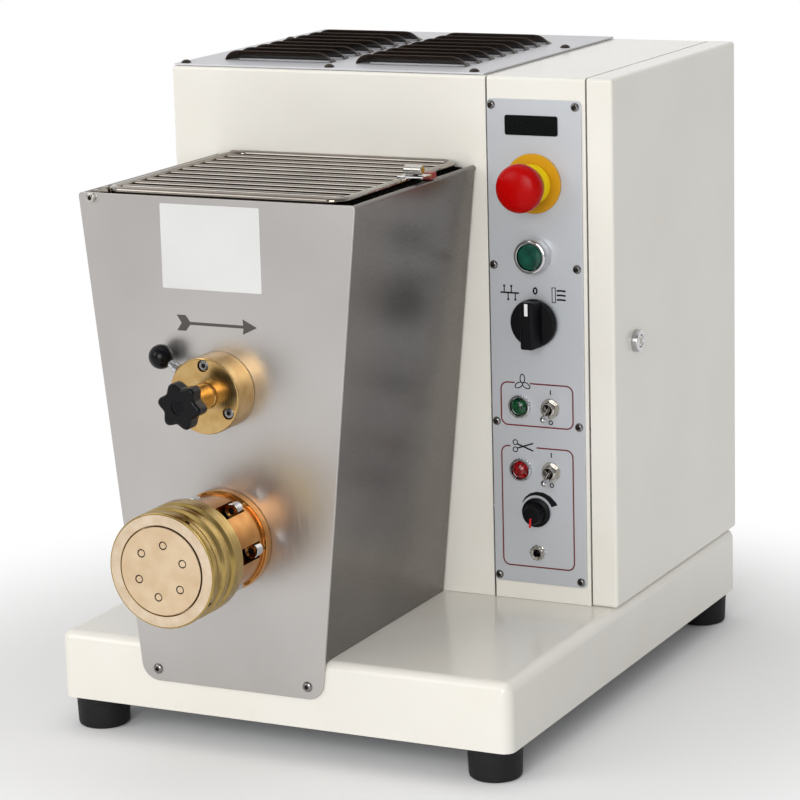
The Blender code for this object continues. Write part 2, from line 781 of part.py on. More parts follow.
def vent_plate():
    width = COVER_RIGHT_X - TOWER_LEFT_X - 2 * VENT_PLATE_INSET
    depth = TOWER_DEPTH - 2 * VENT_PLATE_INSET
    middle_y = (TOWER_FRONT_Y + TOWER_BACK_Y) / 2
    slot_length = LOUVRE_LENGTH - 2 * LOUVRE_END - 2 * LOUVRE_SHEET
    slot_depth = LOUVRE_DEPTH * SLOT_SHARE
    slots = [rectangle(slot_length, slot_depth, x - VENT_CENTRE_X, y + slot_depth / 2 - middle_y)
             for x, y in louvre_places()]
    mesh = outline_mesh("vent_plate", [rectangle(width, depth)] + slots, SHEET)
    plate = place("vent_plate", mesh, VENT_PAINT, at=(VENT_CENTRE_X, middle_y, VENT_Z + SHEET / 2))
    foot_z = VENT_Z + SHEET / 2
    hoods = copies("louvre_hoods", louvre_hood(), [spread(x, y, foot_z) for x, y in louvre_places()])
    fuse(plate, hoods)


def panel_holes():
    """Every hole that the controls need, as (x, z, radius)."""
    return [(CONTROL_X, STOP_Z, PANEL_HOLE_RADIUS), (CONTROL_X, START_Z, PANEL_HOLE_RADIUS),
            (CONTROL_X, SELECTOR_Z, PANEL_HOLE_RADIUS),
            (LAMP_X, FAN_ROW_Z, LAMP_NECK_RADIUS + GAP), (LAMP_X, CUTTER_ROW_Z, LAMP_NECK_RADIUS + GAP),
            (TOGGLE_X, FAN_ROW_Z, TOGGLE_BUSH_RADIUS + GAP),
            (TOGGLE_X, CUTTER_ROW_Z, TOGGLE_BUSH_RADIUS + GAP),
            (SPEED_X, SPEED_Z, SPEED_SHAFT_RADIUS + GAP), (SOCKET_X, SOCKET_Z, SOCKET_BARREL_RADIUS + GAP)]


def control_column():
    column = sheet_box("control_column", (COLUMN_LEFT_X, TOWER_FRONT_Y, TOWER_Z),
                       (COLUMN_RIGHT_X, TOWER_BACK_Y, TOWER_TOP_Z), (LEFT, RIGHT, DOWN), CREAM_PAINT)
    lip = block_mesh("column_lip", (COLUMN_RIGHT_X - SHEET, TOWER_FRONT_Y + SHEET / 2, TOWER_Z),
                     (COLUMN_RIGHT_X, TOWER_FRONT_Y + COLUMN_LIP, TOWER_TOP_Z - SHEET / 2))
    fuse(column, lip)
    reach = OVERRUN + SHEET
    drills = [copies("drill", rod_mesh("drill", radius, -reach, reach, 14), [spread(x, z, 0)])
              for x, z, radius in panel_holes()]
    cut(column, merged("column_holes", drills), at=(0, TOWER_FRONT_Y, 0), turn=TO_FRONT)
    gland_hole = rod_mesh("gland_hole", GLAND_NECK_RADIUS + GAP, -reach, reach)
    cut(column, gland_hole, at=(GLAND_X, TOWER_BACK_Y, GLAND_Z), turn=TO_BACK)


def merged(name, meshes):
    shape = bmesh.new()
    for mesh in meshes:
        shape.from_mesh(mesh)
    return mesh_of(shape, name)


def cable_gland():
    neck = GLAND_NECK_RADIUS
    inside = SHEET + GAP + OVERRUN
    profile = [(GLAND_BORE, REAR_REACH), (neck + SHEET, REAR_REACH),
               (GLAND_RADIUS - SHEET, GLAND_NUT_HEIGHT),
               (GLAND_RADIUS, GLAND_NUT_HEIGHT), (GLAND_RADIUS, GAP), (neck, GAP), (neck, -inside),
               (GLAND_BORE, -inside)]
    turned("cable_gland", profile, BLACK_PLASTIC, at=(GLAND_X, TOWER_BACK_Y, GLAND_Z), turn=TO_BACK,
           steps=12, ring=True)


# Side door, hinge and lock

def hinge_heights():
    return [TOWER_Z + HINGE_INSET, TOWER_TOP_Z - HINGE_INSET - 2 * HINGE_KNUCKLE_LENGTH]


def side_door():
    door = sheet_box("side_door", (DOOR_LEFT_X, TOWER_FRONT_Y, TOWER_Z),
                     (TOWER_RIGHT_X, TOWER_BACK_Y, TOWER_TOP_Z), (LEFT, BACK), CREAM_PAINT)
    leaf_end = TOWER_RIGHT_X - SHEET / 2
    length = HINGE_KNUCKLE_LENGTH - GAP
    for z in hinge_heights():
        knuckle = rod_mesh("door_knuckle", HINGE_KNUCKLE_RADIUS, 0, length, 12)
        low = (0, HINGE_KNUCKLE_RADIUS / 2 - SHEET, 0)
        leaf = block_mesh("door_leaf", low, (leaf_end - DOOR_PIVOT_X, HINGE_KNUCKLE_RADIUS / 2, length))
        bottom = (DOOR_PIVOT_X, DOOR_PIVOT_Y, z + HINGE_KNUCKLE_LENGTH + GAP)
        fuse(door, leaf, at=bottom)
        fuse(door, knuckle, at=bottom)
        bore = rod_mesh("knuckle_bore", HINGE_PIN_RADIUS + GAP, -OVERRUN, length + OVERRUN, 12)
        cut(door, bore, at=bottom)
    hole = rod_mesh("lock_hole", LOCK_BARREL_RADIUS + GAP, -OVERRUN - SHEET, OVERRUN, 20)
    cut(door, hole, at=(TOWER_RIGHT_X, LOCK_Y, LOCK_Z), turn=TO_RIGHT)


def door_hinge():
    """The fixed half: one long rod that the door hangs on, with a knuckle and a leaf at each end."""
    low, high = hinge_heights()
    top = high - low + 2 * HINGE_KNUCKLE_LENGTH
    spot = (DOOR_PIVOT_X, DOOR_PIVOT_Y, low)
    rod = place("door_hinge", rod_mesh("door_hinge", HINGE_PIN_RADIUS, SHEET, top, 12), ZINC, at=spot)
    wall_y = TOWER_BACK_Y - SHEET - GAP - DOOR_PIVOT_Y
    for z in (0, high - low):
        knuckle = rod_mesh("knuckle", HINGE_KNUCKLE_RADIUS, z, z + HINGE_KNUCKLE_LENGTH, 12)
        leaf = block_mesh("leaf", (-HINGE_LEAF_WIDTH, wall_y - SHEET, z),
                          (0, wall_y, z + HINGE_KNUCKLE_LENGTH))
        fuse(rod, knuckle, at=spot)
        fuse(rod, leaf, at=spot)


def door_lock():
    bore = LOCK_CORE_RADIUS + GAP
    back = -SHEET - LOCK_BARREL_LENGTH
    top = GAP + LOCK_HEAD_HEIGHT
    rim = LOCK_HEAD_RADIUS - SHEET / 2
    profile = [(bore, top), (rim, top), (LOCK_HEAD_RADIUS, top - SHEET / 2), (LOCK_HEAD_RADIUS, GAP),
               (LOCK_BARREL_RADIUS, GAP), (LOCK_BARREL_RADIUS, back), (bore, back)]
    spot = (TOWER_RIGHT_X, LOCK_Y, LOCK_Z)
    turned("door_lock_body", profile, CHROME, at=spot, turn=TO_RIGHT, steps=14, ring=True)
    cam_low = back - GAP - LOCK_CAM_THICKNESS
    core = place("door_lock_core", rod_mesh("core", LOCK_CORE_RADIUS, cam_low, top - GAP, 16), CHROME,
                 at=spot, turn=TO_RIGHT)
    tail = LOCK_CAM_WIDTH / 2
    cam = block_mesh("cam", (-LOCK_CAM_LENGTH + tail, -tail, cam_low), (tail, tail, back - GAP))
    fuse(core, cam, at=spot, turn=TO_RIGHT)
    key = block_mesh("keyway", (-LOCK_CORE_RADIUS / 2, -SHEET / 2, top - LOCK_HEAD_HEIGHT),
                     (LOCK_CORE_RADIUS / 2, SHEET / 2, top + OVERRUN))
    cut(core, key, at=spot, turn=TO_RIGHT)


# Control plate

def control_plate():
    corners = rectangle(PLATE_WIDTH, PLATE_HEIGHT, PLATE_X, PLATE_Z0 + PLATE_HEIGHT / 2)
    edge = rounded(corners, [PLATE_CORNER] * 4, 3)
    holes = [circle(radius, 14, x, z) for x, z, radius in panel_holes()]
    mesh = outline_mesh("control_plate", [edge] + holes, PLATE_THICKNESS)
    middle = TOWER_FRONT_Y - GAP - PLATE_THICKNESS / 2
    place("control_plate", mesh, SILVER_PLATE, at=(0, middle, 0), turn=TO_FRONT)


def control(name, profile, finish, x, z, steps=24, ring=False):
    return turned(name, profile, finish, at=(x, CONTROL_Y, z), turn=TO_FRONT, steps=steps, ring=ring)


def emergency_stop():
    bore = STOP_STEM_RADIUS + GAP
    back = -PANEL_NECK_LENGTH
    collar = [(bore, STOP_NECK_HEIGHT), (STOP_NECK_RADIUS, STOP_NECK_HEIGHT),
              (STOP_NECK_RADIUS, STOP_DISC_THICKNESS),
              (STOP_DISC_RADIUS, STOP_DISC_THICKNESS), (STOP_DISC_RADIUS, 0), (STOP_BARREL_RADIUS, 0),
              (STOP_BARREL_RADIUS, back), (bore, back)]
    control("e_stop_collar", collar, YELLOW_PLASTIC, CONTROL_X, STOP_Z, 20, ring=True)
    socket_top = STOP_HEAD_BASE + STOP_SOCKET_DEPTH
    stem = [(0, socket_top - GAP), (STOP_STEM_RADIUS, socket_top - GAP), (STOP_STEM_RADIUS, back),
            (0, back)]
    control("e_stop_stem", stem, BLACK_PLASTIC, CONTROL_X, STOP_Z, 12)
    top = STOP_HEAD_BASE + STOP_HEAD_HEIGHT
    rim = STOP_HEAD_RADIUS - STOP_DISC_THICKNESS
    head = [(0, top), (STOP_CROWN_RADIUS, top - STOP_DISC_THICKNESS / 3),
            (rim, top - STOP_DISC_THICKNESS * 2),
            (STOP_HEAD_RADIUS, top - STOP_HEAD_HEIGHT / 3),
            (STOP_HEAD_RADIUS, STOP_HEAD_BASE + STOP_DISC_THICKNESS),
            (rim, STOP_HEAD_BASE), (bore, STOP_HEAD_BASE), (bore, socket_top), (0, socket_top)]
    control("e_stop_head", head, RED_PLASTIC, CONTROL_X, STOP_Z, 20)


def start_button():
    bore = BUTTON_STEM_RADIUS + GAP
    back = -PANEL_NECK_LENGTH
    floor = SHEET
    window = BUTTON_WINDOW_RADIUS
    lip = (BUTTON_BEZEL_RADIUS + window) / 2
    bezel = [(window, BUTTON_BEZEL_HEIGHT), (lip, BUTTON_BEZEL_HEIGHT),
             (BUTTON_BEZEL_RADIUS, BUTTON_BEZEL_HEIGHT / 2),
             (BUTTON_BEZEL_RADIUS, 0), (PANEL_NECK_RADIUS, 0), (PANEL_NECK_RADIUS, back), (bore, back),
             (bore, floor), (window, floor)]
    control("start_button_bezel", bezel, CHROME, CONTROL_X, START_Z, 18, ring=True)
    cap = window - GAP
    low = floor + BUTTON_TRAVEL + GAP
    lens = [(0, BUTTON_BEZEL_HEIGHT - GAP), (cap - SHEET, BUTTON_BEZEL_HEIGHT - GAP),
            (cap, BUTTON_BEZEL_HEIGHT - SHEET), (cap, low), (BUTTON_STEM_RADIUS, low),
            (BUTTON_STEM_RADIUS, back),
            (0, back)]
    control("start_button_lens", lens, GREEN_LENS, CONTROL_X, START_Z, 16)


def selector():
    back = -PANEL_NECK_LENGTH
    bore = SELECTOR_SHAFT_RADIUS + GAP
    bezel = [(bore, SELECTOR_BEZEL_HEIGHT), (SELECTOR_BEZEL_RADIUS, SELECTOR_BEZEL_HEIGHT),
             (SELECTOR_BEZEL_RADIUS, 0),
             (PANEL_NECK_RADIUS, 0), (PANEL_NECK_RADIUS, back), (bore, back)]
    control("selector_bezel", bezel, BLACK_PLASTIC, CONTROL_X, SELECTOR_Z, 14, ring=True)
    low = SELECTOR_BEZEL_HEIGHT + GAP
    high = low + SELECTOR_DISC_HEIGHT
    rim = SELECTOR_DISC_RADIUS - SHEET
    disc = [(0, high), (rim, high), (SELECTOR_DISC_RADIUS, high - SHEET), (SELECTOR_DISC_RADIUS, low),
            (SELECTOR_SHAFT_RADIUS, low), (SELECTOR_SHAFT_RADIUS, back), (0, back)]
    knob = control("selector_knob", disc, BLACK_PLASTIC, CONTROL_X, SELECTOR_Z, 22)
    grip = bmesh.new()
    bmesh.ops.create_cube(grip, size=1)
    for vert in grip.verts:
        width = SELECTOR_GRIP_FACE_WIDTH if vert.co.z > 0 else SELECTOR_GRIP_FOOT_WIDTH
        length = SELECTOR_GRIP_LENGTH
        vert.co.x *= width
        vert.co.y *= length if vert.co.z > 0 else length - SHEET
        vert.co.z = high + SELECTOR_GRIP_HEIGHT if vert.co.z > 0 else high - SHEET
    bmesh.ops.bevel(grip, geom=grip.edges[:], offset=SHEET, segments=1, profile=0.5, affect="EDGES",
                    material=-1)
    fuse(knob, mesh_of(grip, "selector_grip"), at=(CONTROL_X, CONTROL_Y, SELECTOR_Z), turn=TO_FRONT)


def lamps():
    bore = LAMP_LENS_RADIUS + GAP
    depth = -LAMP_DEPTH
    shelf = -PLATE_THICKNESS
    bezel_top = LAMP_BEZEL_HEIGHT
    profile = [(bore, bezel_top), (LAMP_NECK_RADIUS, bezel_top), (LAMP_BEZEL_RADIUS, bezel_top / 2),
               (LAMP_BEZEL_RADIUS, 0), (LAMP_NECK_RADIUS, 0), (LAMP_NECK_RADIUS, depth), (0, depth),
               (0, shelf),
               (bore, shelf)]
    control("fan_lamp_bezel", profile, CHROME, LAMP_X, FAN_ROW_Z, 14, ring=True)
    control("cutter_lamp_bezel", profile, CHROME, LAMP_X, CUTTER_ROW_Z, 14, ring=True)
    top = LAMP_LENS_HEIGHT
    lens = [(0, top), (LAMP_LENS_FACE_RADIUS, top), (LAMP_LENS_RADIUS, top / 2),
            (LAMP_LENS_RADIUS, shelf + GAP), (0, shelf + GAP)]
    control("fan_lamp_lens", lens, GREEN_LENS, LAMP_X, FAN_ROW_Z, 12)
    control("cutter_lamp_lens", lens, RED_LENS, LAMP_X, CUTTER_ROW_Z, 12)


def toggle_switches():
    seat = TOGGLE_PIVOT_RADIUS + GAP
    throat = TOGGLE_ROOT_RADIUS + GAP
    reach = TOGGLE_BUSH_HEIGHT - TOGGLE_PIVOT_HEIGHT
    mouth = TOGGLE_BUSH_RADIUS - SHEET / 2
    behind = -(PLATE_THICKNESS + SHEET + 3 * GAP)
    low = TOGGLE_PIVOT_HEIGHT - seat
    nut_top = TOGGLE_WASHER_HEIGHT + TOGGLE_NUT_HEIGHT
    profile = [(mouth, TOGGLE_BUSH_HEIGHT), (TOGGLE_BUSH_RADIUS, TOGGLE_BUSH_HEIGHT),
               (TOGGLE_BUSH_RADIUS, nut_top),
               (TOGGLE_NUT_RADIUS, nut_top), (TOGGLE_NUT_RADIUS, TOGGLE_WASHER_HEIGHT),
               (TOGGLE_WASHER_RADIUS, TOGGLE_WASHER_HEIGHT), (TOGGLE_WASHER_RADIUS, 0),
               (TOGGLE_BUSH_RADIUS, 0),
               (TOGGLE_BUSH_RADIUS, behind - SHEET), (0, behind - SHEET), (0, low), (seat, low),
               (seat, TOGGLE_PIVOT_HEIGHT)]
    half_w, half_h = TOGGLE_BODY_WIDTH / 2, TOGGLE_BODY_HEIGHT / 2
    for name, z in (("fan_toggle_body", FAN_ROW_Z), ("cutter_toggle_body", CUTTER_ROW_Z)):
        bush = control(name, profile, ZINC, TOGGLE_X, z, 12, ring=True)
        case = block_mesh("toggle_case", (-half_w, -half_h, behind - TOGGLE_BODY_DEPTH),
                          (half_w, half_h, behind))
        fuse(bush, case, at=(TOGGLE_X, CONTROL_Y, z), turn=TO_FRONT)
    ball = TOGGLE_BALL_RADIUS
    tip = TOGGLE_LEVER_LENGTH
    waist = TOGGLE_ROOT_RADIUS + GAP
    pivot = TOGGLE_PIVOT_RADIUS
    root, cheek = TOGGLE_PIVOT_SHARES
    lever = [(0, tip + ball)] + [(ball * r, tip + ball * h) for r, h in TOGGLE_DROP_SHARES]
    lever += [(waist, tip - ball * TOGGLE_WAIST_SHARE), (throat - GAP, pivot * root), (pivot, 0),
              (pivot * cheek, -pivot * cheek), (0, -pivot)]
    y = CONTROL_Y - TOGGLE_PIVOT_HEIGHT
    turn = (math.pi / 2 + TOGGLE_REST_ANGLE, 0, 0)
    for name, z in (("fan_toggle_lever", FAN_ROW_Z), ("cutter_toggle_lever", CUTTER_ROW_Z)):
        turned(name, lever, CHROME, at=(TOGGLE_X, y, z), turn=turn, steps=10)


def speed_knob():
    low = GAP
    back = -(PLATE_THICKNESS + SHEET + SPEED_SHAFT_REACH)
    profile = [(0, SPEED_KNOB_HEIGHT), (SPEED_CAP_FACE_RADIUS, SPEED_KNOB_HEIGHT),
               (SPEED_CAP_RADIUS, SPEED_SKIRT_HEIGHT + SHEET), (SPEED_CAP_RADIUS, SPEED_SKIRT_HEIGHT),
               (SPEED_SKIRT_RADIUS, SPEED_SKIRT_HEIGHT - SHEET / 2), (SPEED_SKIRT_RADIUS, low),
               (SPEED_SHAFT_RADIUS, low), (SPEED_SHAFT_RADIUS, back), (0, back)]
    knob = control("speed_knob", profile, BLACK_PLASTIC, SPEED_X, SPEED_Z, 18)
    half = SPEED_POINTER_WIDTH / 2
    pointer = block_mesh("pointer", (-half, SPEED_CAP_FACE_RADIUS / 2, SPEED_KNOB_HEIGHT - SHEET),
                         (half, SPEED_CAP_RADIUS + SPEED_POINTER_PROUD,
                          SPEED_KNOB_HEIGHT + SPEED_POINTER_PROUD / 2))
    place_of = Matrix.Rotation(-SPEED_POINTER_ANGLE, 4, "Z")
    fuse(knob, copies("pointer", pointer, [place_of]), at=(SPEED_X, CONTROL_Y, SPEED_Z), turn=TO_FRONT)


def jack_socket():
    back = -SOCKET_DEPTH
    profile = [(SOCKET_BORE, SOCKET_NUT_HEIGHT), (SOCKET_BARREL_RADIUS, SOCKET_NUT_HEIGHT),
               (SOCKET_NUT_RADIUS, SOCKET_NUT_SHOULDER), (SOCKET_NUT_RADIUS, 0),
               (SOCKET_BARREL_RADIUS, 0), (SOCKET_BARREL_RADIUS, back), (SOCKET_BORE, back)]
    control("jack_socket", profile, CHROME, SOCKET_X, SOCKET_Z, 12, ring=True)


# Hopper

def hopper_half(z):
    """Half the hopper's width at a height: its sides lean outwards."""
    share = (z - HOPPER_BOTTOM_Z) / (HOPPER_TOP_Z - HOPPER_BOTTOM_Z)
    return HOPPER_BOTTOM_HALF + share * (HOPPER_TOP_HALF - HOPPER_BOTTOM_HALF)


def hopper_front_plate():
    low, high = HOPPER_BOTTOM_Z, HOPPER_TOP_Z
    corners = [(AXIS_X - hopper_half(low), low), (AXIS_X + hopper_half(low), low),
               (AXIS_X + hopper_half(high), high), (AXIS_X - hopper_half(high), high)]
    radii = [PLATE_BOTTOM_CORNER, PLATE_BOTTOM_CORNER, PLATE_TOP_CORNER, PLATE_TOP_CORNER]
    holes = [circle(SHAFT_RADIUS + OVERRUN, 20, AXIS_X, MIXER_Z),
             circle(BARREL_TUBE_RADIUS + GAP, 28, AXIS_X, AUGER_Z),
             circle(LID_PIN_RADIUS + GAP, 12, LID_HINGE_X, LID_HINGE_Z)]
    holes += [circle(BOLT_SHANK_RADIUS + GAP, 8, AXIS_X + x, AUGER_Z + z) for x, z in bolt_spots()]
    mesh = outline_mesh("hopper_front_plate", [rounded(corners, radii, 5)] + holes, STAINLESS)
    place("hopper_front_plate", mesh, BRUSHED_STEEL, at=(0, HOPPER_BACK_Y - STAINLESS / 2, 0),
          turn=TO_FRONT)


def hopper_shell():
    """Both leaning sides and the rear wall, one folded sheet, with rolled hems along the top."""
    low_z, high_z = TOWER_Z, HOPPER_TOP_Z - PLATE_TOP_CORNER
    front, back = BASE_FRONT_Y, TOWER_FRONT_Y - GAP
    shape = bmesh.new()
    bmesh.ops.create_cube(shape, size=2)
    shape.normal_update()
    gone = [f for f in shape.faces if f.normal.z ** 2 > f.normal.x ** 2 + f.normal.y ** 2 or f.normal.y < -FACING_SHARE]
    bmesh.ops.delete(shape, geom=gone, context="FACES")
    for vert in shape.verts:
        z = high_z if vert.co.z > 0 else low_z
        vert.co = (AXIS_X + vert.co.x * hopper_half(z), back if vert.co.y > 0 else front, z)
    shell = place("hopper_shell", mesh_of(shape, "hopper_shell"), BRUSHED_STEEL)
    thicken(shell, STAINLESS)
    for side in (-1, 1):
        hem = rod_mesh("hem", HEM_RADIUS, TOWER_FRONT_Y - GAP - back, back - front, 10)
        x = AXIS_X + side * (hopper_half(high_z) - HEM_RADIUS)
        fuse(shell, hem, at=(x, back, high_z), turn=TO_FRONT)
    hole = rod_mesh("shell_hole", SHAFT_RADIUS + OVERRUN, -OVERRUN, OVERRUN + STAINLESS)
    for z in (MIXER_Z, AUGER_Z):
        cut(shell, hole.copy(), at=(AXIS_X, back, z), turn=TO_FRONT)


def tank_front_y():
    return BASE_FRONT_Y + GAP


def tank_back_y():
    return TOWER_FRONT_Y - GAP - STAINLESS - GAP


def mixing_tank():
    """A trough with a round bottom about the mixer shaft, open at the top."""
    top_half = hopper_half(TANK_TOP_Z) - STAINLESS - OVERRUN
    lean = math.atan2(top_half - TANK_RADIUS, TANK_TOP_Z - MIXER_Z)
    bottom = arc(0, 0, TANK_RADIUS, math.pi - lean, math.tau + lean, 14)
    outline = [(-top_half, TANK_TOP_Z - MIXER_Z)] + bottom + [(top_half, TANK_TOP_Z - MIXER_Z)]
    shape = bmesh.new()
    verts = [shape.verts.new((x, 0, z)) for x, z in outline]
    face = shape.faces.new(verts)
    grown = bmesh.ops.extrude_face_region(shape, geom=[face])["geom"]
    moved = [v for v in grown if isinstance(v, bmesh.types.BMVert)]
    bmesh.ops.translate(shape, vec=(0, tank_back_y() - tank_front_y(), 0), verts=moved)
    if len(shape.faces) < len(outline) + 2:
        shape.faces.new(verts)
    bmesh.ops.recalc_face_normals(shape, faces=shape.faces)
    shape.normal_update()
    lid_face = [f for f in shape.faces if f.normal.z > FACING_SHARE
                and f.calc_center_median().z > TANK_TOP_Z - MIXER_Z - OVERRUN]
    bmesh.ops.delete(shape, geom=lid_face, context="FACES_ONLY")
    mesh = mesh_of(shape, "mixing_tank")
    shade(mesh)
    tank = place("mixing_tank", mesh, TURNED_STEEL, at=(AXIS_X, tank_front_y(), MIXER_Z))
    thicken(tank, TANK_WALL)
    rest_low = TANK_TOP_Z - TANK_WALL
    for y in (tank_front_y(), tank_back_y() - TANK_WALL):
        rest = block_mesh("lid_rest", (LID_LEFT_X - LID_ROD_RADIUS, y, rest_low),
                          (LID_RIGHT_X + LID_ROD_RADIUS, y + TANK_WALL, TANK_TOP_Z + TANK_END_RISE))
        fuse(tank, rest)
        ear = block_mesh("hinge_ear", (LID_HINGE_X - LID_EAR_HALF, y, rest_low - TANK_WALL),
                         (LID_HINGE_X + LID_EAR_HALF, y + TANK_WALL, HOPPER_TOP_Z))
        fuse(tank, ear)
    length = tank_back_y() - tank_front_y() + OVERRUN
    hole = rod_mesh("tank_hole", SHAFT_RADIUS + OVERRUN, -OVERRUN, length)
    cut(tank, hole, at=(AXIS_X, tank_back_y(), MIXER_Z), turn=TO_FRONT)
    pin_hole = rod_mesh("pin_hole", LID_PIN_RADIUS + GAP, -OVERRUN, length, 12)
    cut(tank, pin_hole, at=(LID_HINGE_X, tank_back_y(), LID_HINGE_Z), turn=TO_FRONT)
    mouth = block_mesh("throat_mouth",
                       (AXIS_X - THROAT_WIDTH / 2, THROAT_Y - THROAT_LENGTH / 2,
                        MIXER_Z - TANK_RADIUS - OVERRUN),
                       (AXIS_X + THROAT_WIDTH / 2, THROAT_Y + THROAT_LENGTH / 2, MIXER_Z - TANK_RADIUS / 2))
    cut(tank, mouth)


# Grille lid

def bar_rows():
    first = tank_front_y() + LID_END_GAP + LID_ROD_RADIUS
    last = tank_back_y() - LID_END_GAP - LID_ROD_RADIUS
    return [first + (last - first) * i / (LID_BARS - 1) for i in range(LID_BARS)]


def grille_lid():
    """Two side rods joined by round bars, with an eye at each end of the left side."""
    rows = bar_rows()
    front, back = rows[0] - LID_ROD_RADIUS, rows[-1] + LID_ROD_RADIUS
    left = wire_mesh("left_rod", [(LID_LEFT_X, front, LID_LEVEL_Z), (LID_LEFT_X, back, LID_LEVEL_Z)],
                     LID_ROD_RADIUS, 1)
    lid = place("grille_lid", left, TURNED_STEEL)
    right = wire_mesh("right_rod", [(LID_RIGHT_X, front, LID_LEVEL_Z), (LID_RIGHT_X, back, LID_LEVEL_Z)],
                      LID_ROD_RADIUS, 1)
    fuse(lid, right)
    bar = wire_mesh("bar", [(LID_LEFT_X, 0, 0), (LID_RIGHT_X, 0, 0)], LID_BAR_RADIUS, 1)
    fuse(lid, copies("bars", bar, [spread(0, y, LID_LEVEL_Z) for y in rows]))
    inset = TANK_WALL + GAP
    for y in (tank_front_y() + inset, tank_back_y() - inset - LID_EYE_THICKNESS):
        eye = rod_mesh("eye", LID_EYE_RADIUS, 0, LID_EYE_THICKNESS, 14)
        fuse(lid, eye, at=(LID_HINGE_X, y, LID_HINGE_Z), turn=TO_BACK)
        arm = block_mesh("arm", (LID_HINGE_X, y, LID_HINGE_Z),
                         (LID_LEFT_X, y + LID_EYE_THICKNESS, LID_LEVEL_Z))
        fuse(lid, arm)
        bore = rod_mesh("eye_bore", LID_PIN_RADIUS + RUNNING_GAP, -OVERRUN, LID_EYE_THICKNESS + OVERRUN, 12)
        cut(lid, bore, at=(LID_HINGE_X, y, LID_HINGE_Z), turn=TO_BACK)
    plate = block_mesh("bracket", (LID_RIGHT_X, MAGNET_Y - BRACKET_WIDTH / 2, LID_LEVEL_Z + BRACKET_LIFT),
                       (LID_RIGHT_X + MAGNET_LENGTH - SHEET, MAGNET_Y + BRACKET_WIDTH / 2,
                        LID_LEVEL_Z + BRACKET_LIFT + BRACKET_THICKNESS))
    fuse(lid, plate)
    return lid


def lid_hinge_rod():
    """The shoulder screw that the lid's eyes turn on: it runs from the front plate to the rear wall."""
    reach = tank_back_y() - FITTING_Y
    rod = round_bolt("lid_hinge_rod", LID_PIN_HEAD_RADIUS, LID_PIN_HEAD_HEIGHT, LID_PIN_RADIUS, reach,
                     DARK_SCREW, 12)
    place("lid_hinge_rod", rod, DARK_SCREW, at=(LID_HINGE_X, FITTING_Y, LID_HINGE_Z), turn=TO_FRONT)


def lid_interlock():
    z = LID_LEVEL_Z + BRACKET_LIFT + BRACKET_THICKNESS + GAP + MAGNET_RADIUS
    magnet = rod_mesh("lid_magnet", MAGNET_RADIUS, 0, MAGNET_LENGTH, 16)
    place("lid_magnet", magnet, CHROME, at=(LID_RIGHT_X - LID_ROD_RADIUS, MAGNET_Y, z), turn=TO_RIGHT)
    hem_x = AXIS_X + hopper_half(HOPPER_TOP_Z - PLATE_TOP_CORNER) - HEM_RADIUS
    hem_top = HOPPER_TOP_Z - PLATE_TOP_CORNER + HEM_RADIUS + GAP
    low = (hem_x - SENSOR_WIDTH / 2, SENSOR_Y - SENSOR_LENGTH / 2, hem_top)
    high = (hem_x + SENSOR_WIDTH / 2, SENSOR_Y + SENSOR_LENGTH / 2, hem_top + SENSOR_HEIGHT)
    sensor = place("lid_sensor", block_mesh("lid_sensor", low, high), RED_PLASTIC)
    soften(sensor, SHEET / 2, 1)


# Mixer flange, knob and shaft

def mixer_flange():
    bore = SHAFT_RADIUS + RUNNING_GAP
    top, edge = MIXER_FLANGE_DEPTH, MIXER_FLANGE_EDGE
    seat = top - BOSS_SEAT_DEPTH
    high = top + BOSS_LENGTH
    stud_bore = STUD_RADIUS + GAP
    profile = [(stud_bore, high), (BOSS_RADIUS - edge, high), (BOSS_RADIUS, high - edge),
               (BOSS_RADIUS, top + 2 * edge), (BOSS_RADIUS - edge / 2, top + 2 * edge),
               (BOSS_RADIUS - edge / 2, top), (MIXER_FLANGE_RADIUS - edge, top),
               (MIXER_FLANGE_RADIUS, top - edge),
               (MIXER_FLANGE_RADIUS, 0), (bore, 0), (bore, seat), (stud_bore, seat)]
    spot = (AXIS_X, FITTING_Y, MIXER_Z)
    flange = turned("mixer_flange", profile, BRASS, at=spot, turn=TO_FRONT, steps=24, ring=True)
    pocket = rod_mesh("pocket", FLANGE_COUNTERBORE_RADIUS, top - FLANGE_COUNTERBORE_DEPTH, top + OVERRUN,
                      10)
    cut(flange, copies("pockets", pocket, [spread(x, z, 0) for x, z in flange_screw_spots()]), at=spot,
        turn=TO_FRONT)
    middle = top / 2
    aim = Matrix.Rotation(PLUNGER_ANGLE, 4, "Z") @ Matrix.Rotation(math.pi / 2, 4, "Y")
    guide = rod_mesh("guide", PLUNGER_GUIDE_RADIUS, MIXER_FLANGE_RADIUS / 2,
                     MIXER_FLANGE_RADIUS + PLUNGER_GUIDE_HEIGHT)
    stem_hole = rod_mesh("stem_hole", PLUNGER_STEM_RADIUS + GAP, SHAFT_RADIUS / 2,
                         MIXER_FLANGE_RADIUS + PLUNGER_GUIDE_HEIGHT + OVERRUN, 14)
    lift = spread(0, 0, middle)
    fuse(flange, copies("guide", guide, [lift @ aim]), at=spot, turn=TO_FRONT)
    cut(flange, copies("stem_hole", stem_hole, [lift @ aim]), at=spot, turn=TO_FRONT)


def flange_screw_spots():
    return circle(FLANGE_SCREW_CIRCLE, 3, start=math.pi / 2)


